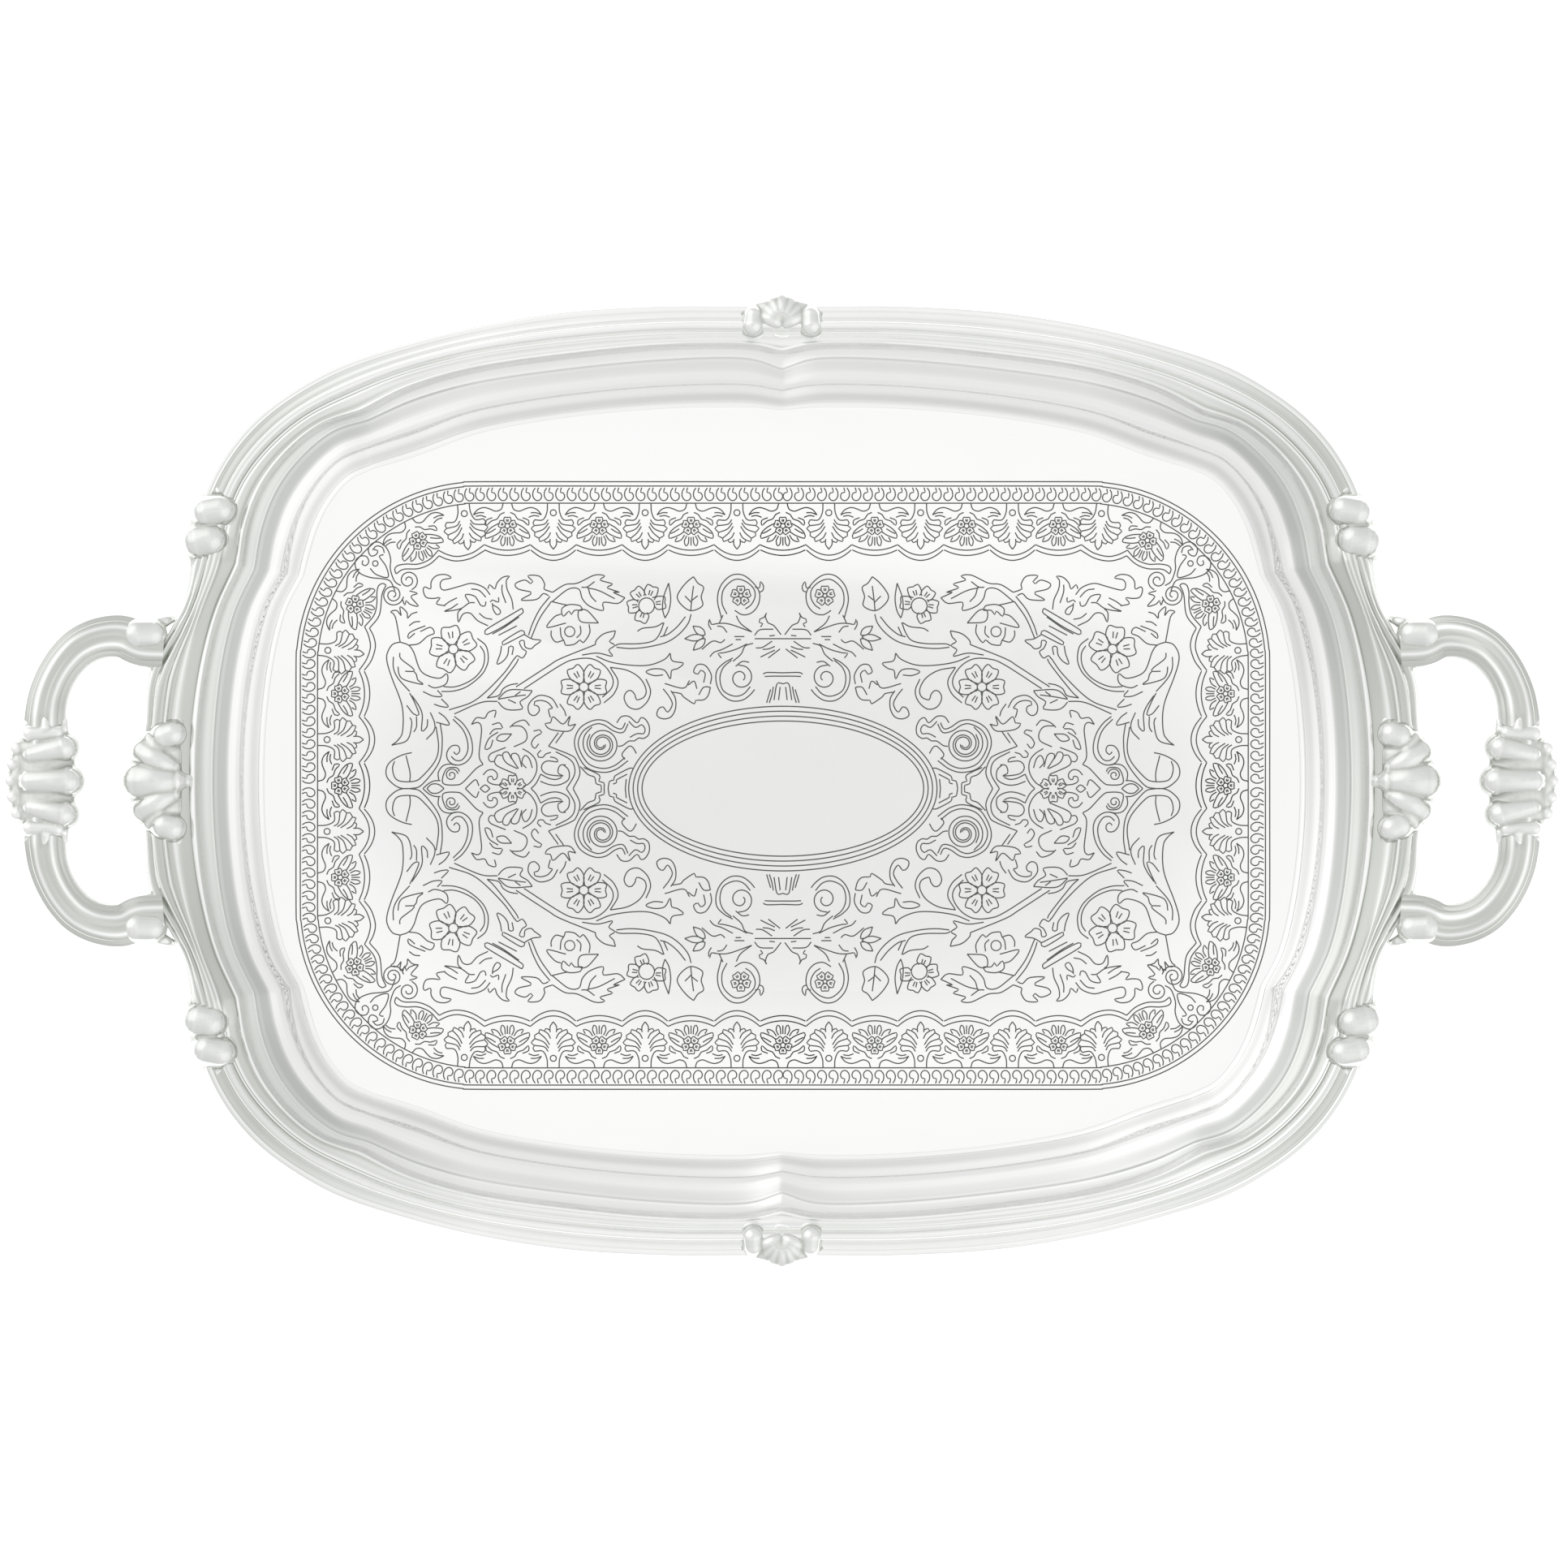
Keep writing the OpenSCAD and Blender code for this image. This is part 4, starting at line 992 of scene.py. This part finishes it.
def curl(centre, radius, start, end, thick):
    """A crescent round a centre, from one angle to another in degrees."""
    x, y, z = centre
    angles = np.radians(np.linspace(start, end, 9))
    return bar([(x + radius * math.cos(a), y + radius * math.sin(a), z) for a in angles], thick)


def towards_neighbours(values, edges):
    """For each vertex, its neighbours' mean less its own value."""
    total = np.zeros_like(values)
    count = np.zeros(len(values))
    for a, b in ((0, 1), (1, 0)):
        np.add.at(total, edges[:, a], values[edges[:, b]])
        np.add.at(count, edges[:, a], 1)
    return total / np.maximum(count, 1)[:, None] - values


def remeshed(solid, voxel):
    """The mesh of the outer skin of overlapping solids."""
    points, faces = solid
    mesh = bpy.data.meshes.new("casting")
    mesh.from_pydata((points * MM).tolist(), [], faces)
    mould = bpy.data.objects.new("casting", mesh)
    bpy.context.scene.collection.objects.link(mould)
    remesh = mould.modifiers.new("remesh", "REMESH")
    remesh.mode = "VOXEL"
    remesh.voxel_size = voxel * MM
    bpy.context.view_layer.update()
    skin = bpy.data.meshes.new_from_object(mould.evaluated_get(bpy.context.evaluated_depsgraph_get()))
    bpy.data.objects.remove(mould)
    return skin


def cast(parts, voxel):
    """One solid from overlapping parts, softened as a casting is, with its tones: painted shade in its
    hollows and on its steep sides, painted highlights on its crests.
    """
    skin = remeshed(joined([capped_tube(rings) for rings in parts]), voxel)
    co = np.empty(len(skin.vertices) * 3)
    skin.vertices.foreach_get("co", co)
    co = co.reshape(-1, 3) / MM
    edges = np.empty(len(skin.edges) * 2, int)
    skin.edges.foreach_get("vertices", edges)
    edges = edges.reshape(-1, 2)
    faces = [tuple(p.vertices) for p in skin.polygons]
    for _ in range(CAST_ROUNDS):
        co = co + 0.5 * towards_neighbours(co, edges)
    skin.vertices.foreach_set("co", co.ravel())
    skin.update()
    normals = np.array([v.normal for v in skin.vertices])
    bpy.data.meshes.remove(skin)
    hollow = (towards_neighbours(co, edges) * normals).sum(axis=1, keepdims=True) / voxel
    for _ in range(HOLLOW_ROUNDS):
        hollow = hollow + 0.5 * towards_neighbours(hollow, edges)
    # Painted shade: darker in the hollows and on the steep sides; painted highlights: lighter on the rounded
    # crests
    steep = 1 - np.abs(normals[:, 2])
    return (co, faces), np.clip(CAST_TONE - HOLLOW_GAIN * hollow[:, 0] - STEEP_GAIN * steep ** 2, 0, 1)


def ornament(name, node_name, start, end, casting, x, y):
    """A stretch of border with a casting on it, as one piece."""
    below, below_tone = border(start, end, ORNAMENT_STEP)
    solid, cast_tone = casting
    make_piece(name, in_corner(*joined([below, solid]), x, y), BORDER_PLATE, [node_name],
               np.concatenate([below_tone, cast_tone]))


def side_shells():
    """A fan over a low body, between two balls."""
    reaches = (9.4, 9.6, 10, 10.4, 10, 9.6, 9.4)
    parts = fan((0, 147.2, CAST_Z - 0.8), 90, reaches, 132, 2.2, 3.0, 1.8, 0.4)
    parts.append(curl((0, 148.6, CAST_Z - 0.2), 5.4, 235, 305, 0.9))
    for x in (-1, 1):
        parts += [lobe((x * 13, 151.2, CAST_Z - 2.0), (0, 152.4, CAST_Z - 1.8), 1.8, 4.4),
                  lobe((x * 9.4, 146.9, CAST_Z - 0.2), (x * 9.2, 149.8, CAST_Z - 0.6), 3.9, 3.6),
                  curl((x * 9.4, 147.2, CAST_Z - 0.4), 4.5, 215, 325, 0.9)]
    made = cast(parts, 0.34)
    for side, y in (("back", 1), ("front", -1)):
        ornament("border_shell_" + side, "side_shell_" + side, SIDE_RAIL_TO, ROUND + SIDE_SHELL_S,
                 made, 1, y)


def end_shells():
    """A broad lobe over a cross body, with two wings, a ball, a curl and a spur on either hand."""
    parts = [lobe((196.4, 0, CAST_Z + 0.2), (207.2, 0, CAST_Z - 0.4), 4.4, 6.6, 1.2, up=0.8),
             lobe((201.0, -9.0, CAST_Z - 1.6), (201.0, 9.0, CAST_Z - 1.6), 6.0, 6.0, across=1.3, up=0.75),
             lobe((192.6, 0, CAST_Z - 0.8), (195.4, 0, CAST_Z), 2.4, 4.0)]
    for y in (-1, 1):
        parts += [
            lobe((196.8, y * 4.2, CAST_Z + 0.4), (205.8, y * 9.2, CAST_Z - 0.8), 3.0, 4.8, 1.6, up=0.9),
            lobe((199.4, y * 6.8, CAST_Z), (203.4, y * 13.2, CAST_Z - 0.8), 2.4, 3.4, 1.2),
            lobe((196.6, y * 15.2, CAST_Z - 0.2), (199.2, y * 14.4, CAST_Z - 0.6), 4.8, 5.0),
            curl((197.8, y * 15.0, CAST_Z), 5.8, y * 30, y * 150, 1.1),
            lobe((200.4, y * 20.4, CAST_Z - 0.8), (202.0, y * 23.4, CAST_Z - 1.2), 1.8, 0.9)]
    made = cast(parts, 0.38)
    for side, x in (("left", -1), ("right", 1)):
        ornament("border_shell_" + side, "end_shell_" + side, RIGHT - END_SHELL_S, END_RAIL_FROM,
                 made, x, 1)


def corner_clasps():
    """Two bulbs over a low body, with a curl and a spur to each."""
    parts = [lobe((181.0, 87.6, CAST_Z - 0.2), (185.4, 86.6, CAST_Z - 0.8), 5.2, 5.6),
             lobe((184.6, 77.8, CAST_Z - 0.2), (188.0, 77.2, CAST_Z - 0.8), 5.6, 6.0, up=0.9),
             lobe((185.6, 91.6, CAST_Z - 2.4), (189.6, 75.0, CAST_Z - 2.2), 2.2, 4.4),
             curl((182.6, 87.4, CAST_Z - 1.0), 6.2, 100, 265, 1.0),
             curl((186.4, 77.8, CAST_Z - 1.0), 7.2, 110, 235, 1.0),
             lobe((181.6, 93.0, CAST_Z - 1.4), (183.6, 96.2, CAST_Z - 1.8), 1.7, 0.8),
             lobe((189.2, 71.8, CAST_Z - 1.4), (190.2, 68.4, CAST_Z - 1.8), 2.4, 1.0)]
    made = cast(parts, 0.34)
    for corner, x, y in CORNERS:
        ornament("border_clasp_" + corner, "corner_clasp_" + corner, CLASP_FROM, CLASP_TO, made, x, y)


# ---------------------------------------------------------------- handles
# The loop's path from its root to the straight grip, [x, y, share of the climb, half its width]
LOOP = [(199.5, 43.6, 0, 7.6), (206.5, 44.2, 0.08, 7.9), (213, 46.6, 0.22, 7.6), (220, 46, 0.4, 7.2),
        (226, 43.1, 0.58, 7), (230.4, 38.6, 0.73, 6.8), (233.6, 33.3, 0.85, 6.7), (235.7, 27.6, 0.94, 6.8),
        (236.6, 22, 1, 7), (236.8, 17, 1, 7.2), (236.8, 8, 1, 7.2), (236.8, 0, 1, 7.2)]
LOOP_STEP = 0.7
LOOP_SIDES = 96
LOOP_Z = FLANGE_Z + 5
KNUCKLE_Z = LOOP_Z + 1.2
# Round the loop's section: its flutes, their depth as a share of its half width, and their tones, which
# paint shade in the flutes and highlights on their crests
FLUTES = 8
FLUTE_DEPTH = 0.07
FLUTE_TONE = 0.15


def loop():
    """The fluted bar of a handle, from the back root round to the front one, with its tones: painted
    highlights on the flutes' crests and painted shade between them.
    """
    half = resample(LOOP, LOOP_STEP)
    line = np.vstack([half, half[-2::-1] * (1, -1, 1, 1)])
    path = np.stack([line[:, 0], line[:, 1], LOOP_Z + (GRIP_Z - LOOP_Z) * line[:, 2]], axis=1)
    side, rise = sideways_and_up(path)
    angle = np.linspace(0, 2 * math.pi, LOOP_SIDES, endpoint=False)
    crest = np.abs(np.sin(FLUTES / 2 * angle))
    radius = 1 - FLUTE_DEPTH * (1 - crest ** 0.6)
    across = line[:, 3, None, None] * (radius * np.cos(angle))[:, None] * side[:, None]
    up = GRIP_HALF * (radius * np.sin(angle))[:, None] * rise[:, None]
    # Painted highlight on each flute's crest, painted shade between them
    tone = FLUTE_TONE + (1 - FLUTE_TONE) * crest ** 16
    return capped_tube(path[:, None] + across + up), np.tile(tone, len(path))


def two_sides(name, node_name, solid, tone):
    """A handle's piece at either end of the tray, drawn for the right one."""
    for side, x in (("left", -1), ("right", 1)):
        make_piece(name + side, in_corner(*solid, x, 1), HANDLE_PLATE,
                   [node_name + side], tone)


def handles():
    """The loops, with the knuckles at their roots."""
    bare, bare_tone = loop()
    knuckles = []
    for y in (-1, 1):
        knuckles += [
            lobe((203.2, y * 47.4, KNUCKLE_Z), (208.0, y * 47.2, KNUCKLE_Z + 0.6), 5.2, 5.4),
            curl((207.4, y * 47.4, KNUCKLE_Z + 1.2), 6.0, y * -75, y * 80, 1.0),
            lobe((197.0, y * 52.2, KNUCKLE_Z - 2.6), (202.0, y * 50.4, KNUCKLE_Z - 0.4), 1.4, 2.6, 0.5),
            lobe((198.6, y * 41.6, KNUCKLE_Z - 1.6), (205.4, y * 40.8, KNUCKLE_Z - 0.6), 2.2, 2.2, 0.6)]
    solid, cast_tone = cast(knuckles, 0.36)
    two_sides("handle_loop_", "handle_", joined([bare, solid]), np.concatenate([bare_tone, cast_tone]))


def grip_collars():
    """Three bulging lobes that taper outwards to a beaded crown, with leaves curled over the bar."""
    parts = [lobe((229.6, 0, GRIP_Z), (240.6, 0, GRIP_Z), 6.0, 5.2, 0.4, 0.94, 1.08),
             lobe((236.4, -10.5, GRIP_Z), (236.4, 10.5, GRIP_Z), 5.4, 5.4, 0, 1.75, 0.84)]
    for y in (-1, 1):
        parts.append(lobe((230.9, y * 10.6, GRIP_Z), (240.0, y * 8.6, GRIP_Z), 5.6, 4.4, 0.4, 0.94, 1.12))
        parts += [lobe((232.4, y * 15.4, GRIP_Z + z * 2.4), (241.2, y * 15.2, GRIP_Z + z * 2.2), 2.7, 2.9)
                  for z in (-1, 1)]
        parts += [lobe((230.4, y * 16.6, GRIP_Z + 2.2), (230.0, y * 19.4, GRIP_Z + 1.2), 1.8, 1.0),
                  lobe((236.0, y * 17.0, GRIP_Z + 3.0), (236.2, y * 19.8, GRIP_Z + 2.8), 2.2, 1.7),
                  lobe((241.8, y * 16.6, GRIP_Z + 2.0), (242.4, y * 20.2, GRIP_Z + 1.0), 2.0, 1.1)]
    crown = [(242.4, -15), (244.8, -7.5), (245.4, 0), (244.8, 7.5), (242.4, 15)]
    parts.append(bar([(x, y, GRIP_Z) for x, y in crown], 3.0))
    parts += [ball((247.2 - 0.45 * i * i, 5.2 * i, GRIP_Z + 0.4), 2.7) for i in range(-2, 3)]
    two_sides("handle_collar_", "grip_collar_", *cast(parts, 0.38))


pan()
rails("border_rail_", "rail_", CLASP_TO, SIDE_RAIL_TO, SIDE_RAIL_STEP)
rails("border_end_rail_", "end_rail_", END_RAIL_FROM, CLASP_FROM, END_RAIL_STEP)
side_shells()
end_shells()
corner_clasps()
handles()
grip_collars()

# ---------------------------------------------------------------- carried-over nodes
CAD_LOOKS = {"plated_border": BORDER_PLATE, "plated_handle": HANDLE_PLATE, "fasteners": STEEL,
             "plated_sheet": SHEET_PLATE}
for part in frame["record"]["subparts"]:
    slots = frame["nodes"][part["node"]].data.materials
    slots.clear()
    slots.append(CAD_LOOKS[part["material_slot"]])

# ---------------------------------------------------------------- floor, light and camera
FLOOR_SIZE = 8
PAPER = (0.93, 0.93, 0.93, 1)
PAPER_GLOW = 0.5
# The tent's brightness, [share of the way up, value], its dark opening and the lamps' glow on it
TENT = [(0.0, 0.78), (0.25, 0.81), (0.5, 0.84), (0.75, 0.87), (0.96, 0.92), (0.99, 1.0)]
OPENING_SQUASH = 0.44
OPENING_FROM = 0.066
OPENING_TO = 0.084
OPENING_DIM = 0.84
TENT_GAIN = 1.03
KEY_PLACE = (-2.4, 2.0, 2.2)
KEY_POWER = 40
KEY_GLOW = 0.42
FILL_PLACE = (2.5, -1.7, 2.2)
FILL_POWER = 30
FILL_GLOW = 0.22
GLOW_FROM = 0.72
GLOW_FULL = 0.98
LAMP_SIZE = 3.2
# The camera looks down on a stretch this wide, at the height of the rim
FRAME_WIDTH = 504.8 * MM
RIM_Z = 24 * MM
CAMERA_PLACE = (0.0005, -0.001, 2.2)
SENSOR_WIDTH = 36


def floor():
    """A sheet of pale paper."""
    material = bpy.data.materials.new("floor_paper")
    material.use_nodes = True
    shader = material.node_tree.nodes["Principled BSDF"]
    shader.inputs["Base Color"].default_value = PAPER
    shader.inputs["Roughness"].default_value = 0.9
    shader.inputs["Specular IOR Level"].default_value = 0.0
    shader.inputs["Emission Color"].default_value = PAPER
    shader.inputs["Emission Strength"].default_value = PAPER_GLOW
    bpy.ops.mesh.primitive_plane_add(size=FLOOR_SIZE)
    plane = bpy.context.object
    plane.name = "floor"
    plane.data.materials.append(material)


def vector_math(tree, operation, source, output, operand=None):
    """A vector node fed from one output, and the second vector it works with."""
    made = node(tree, "ShaderNodeVectorMath")
    made.operation = operation
    if operand is not None:
        made.inputs[1].default_value = operand
    link(source, output, made, 0)
    return made


def smooth_range(tree, source, **ends):
    """A value from one range mapped to another, with soft ends."""
    made = node(tree, "ShaderNodeMapRange", **ends)
    made.interpolation_type = "SMOOTHSTEP"
    link(source, "Value", made, "Value")
    return made


def studio():
    """A pale tent, dimmer towards its walls and round the opening that the camera looks through."""
    scene = bpy.context.scene
    scene.view_settings.view_transform = "Standard"
    scene.world = bpy.data.worlds.new("studio")
    scene.world.use_nodes = True
    tree = scene.world.node_tree
    place = node(tree, "ShaderNodeTexCoord")
    split = node(tree, "ShaderNodeSeparateXYZ")
    link(place, "Generated", split, "Vector")
    ramp = node(tree, "ShaderNodeValToRGB")
    while len(ramp.color_ramp.elements) < len(TENT):
        ramp.color_ramp.elements.new(0.5)
    for element, (share, value) in zip(ramp.color_ramp.elements, TENT):
        element.position = share
        element.color = (value, value, value, 1)
    link(split, "Z", ramp, "Fac")
    squashed = vector_math(tree, "MULTIPLY", place, "Generated", (OPENING_SQUASH, 1, 0))
    from_opening = vector_math(tree, "LENGTH", squashed, "Vector")
    bright = smooth_range(tree, from_opening, From_Min=OPENING_FROM, From_Max=OPENING_TO,
                          To_Min=OPENING_DIM, To_Max=TENT_GAIN)
    output = "Result"
    for lamp_place, strength in ((KEY_PLACE, KEY_GLOW), (FILL_PLACE, FILL_GLOW)):
        facing = vector_math(tree, "DOT_PRODUCT", place, "Generated", Vector(lamp_place).normalized())
        glow = smooth_range(tree, facing, From_Min=GLOW_FROM, From_Max=GLOW_FULL,
                            To_Min=0.0, To_Max=strength)
        total = node(tree, "ShaderNodeMath")
        link(bright, output, total, 0)
        link(glow, "Result", total, 1)
        bright, output = total, "Value"
    background = tree.nodes["Background"]
    link(ramp, "Color", background, "Color")
    link(bright, output, background, "Strength")


def softbox(name, place, power):
    """Lights the paper; the plate shows the tent's soft glow in its place."""
    light = bpy.data.lights.new(name, "AREA")
    light.size = LAMP_SIZE
    light.energy = power
    lamp = bpy.data.objects.new(name, light)
    lamp.visible_glossy = False
    lamp.location = place
    lamp.rotation_euler = (-Vector(place)).to_track_quat("-Z", "Y").to_euler()
    bpy.context.scene.collection.objects.link(lamp)


def camera():
    """Looks straight down, so that the tray nearly fills the frame's width."""
    lens = bpy.data.cameras.new("camera")
    lens.sensor_fit = "HORIZONTAL"
    lens.sensor_width = SENSOR_WIDTH
    lens.lens = SENSOR_WIDTH * (CAMERA_PLACE[2] - RIM_Z) / FRAME_WIDTH
    eye = bpy.data.objects.new("camera", lens)
    eye.location = CAMERA_PLACE
    bpy.context.scene.collection.objects.link(eye)
    bpy.context.scene.camera = eye


floor()
studio()
softbox("key", KEY_PLACE, KEY_POWER)
softbox("fill", FILL_PLACE, FILL_POWER)
camera()
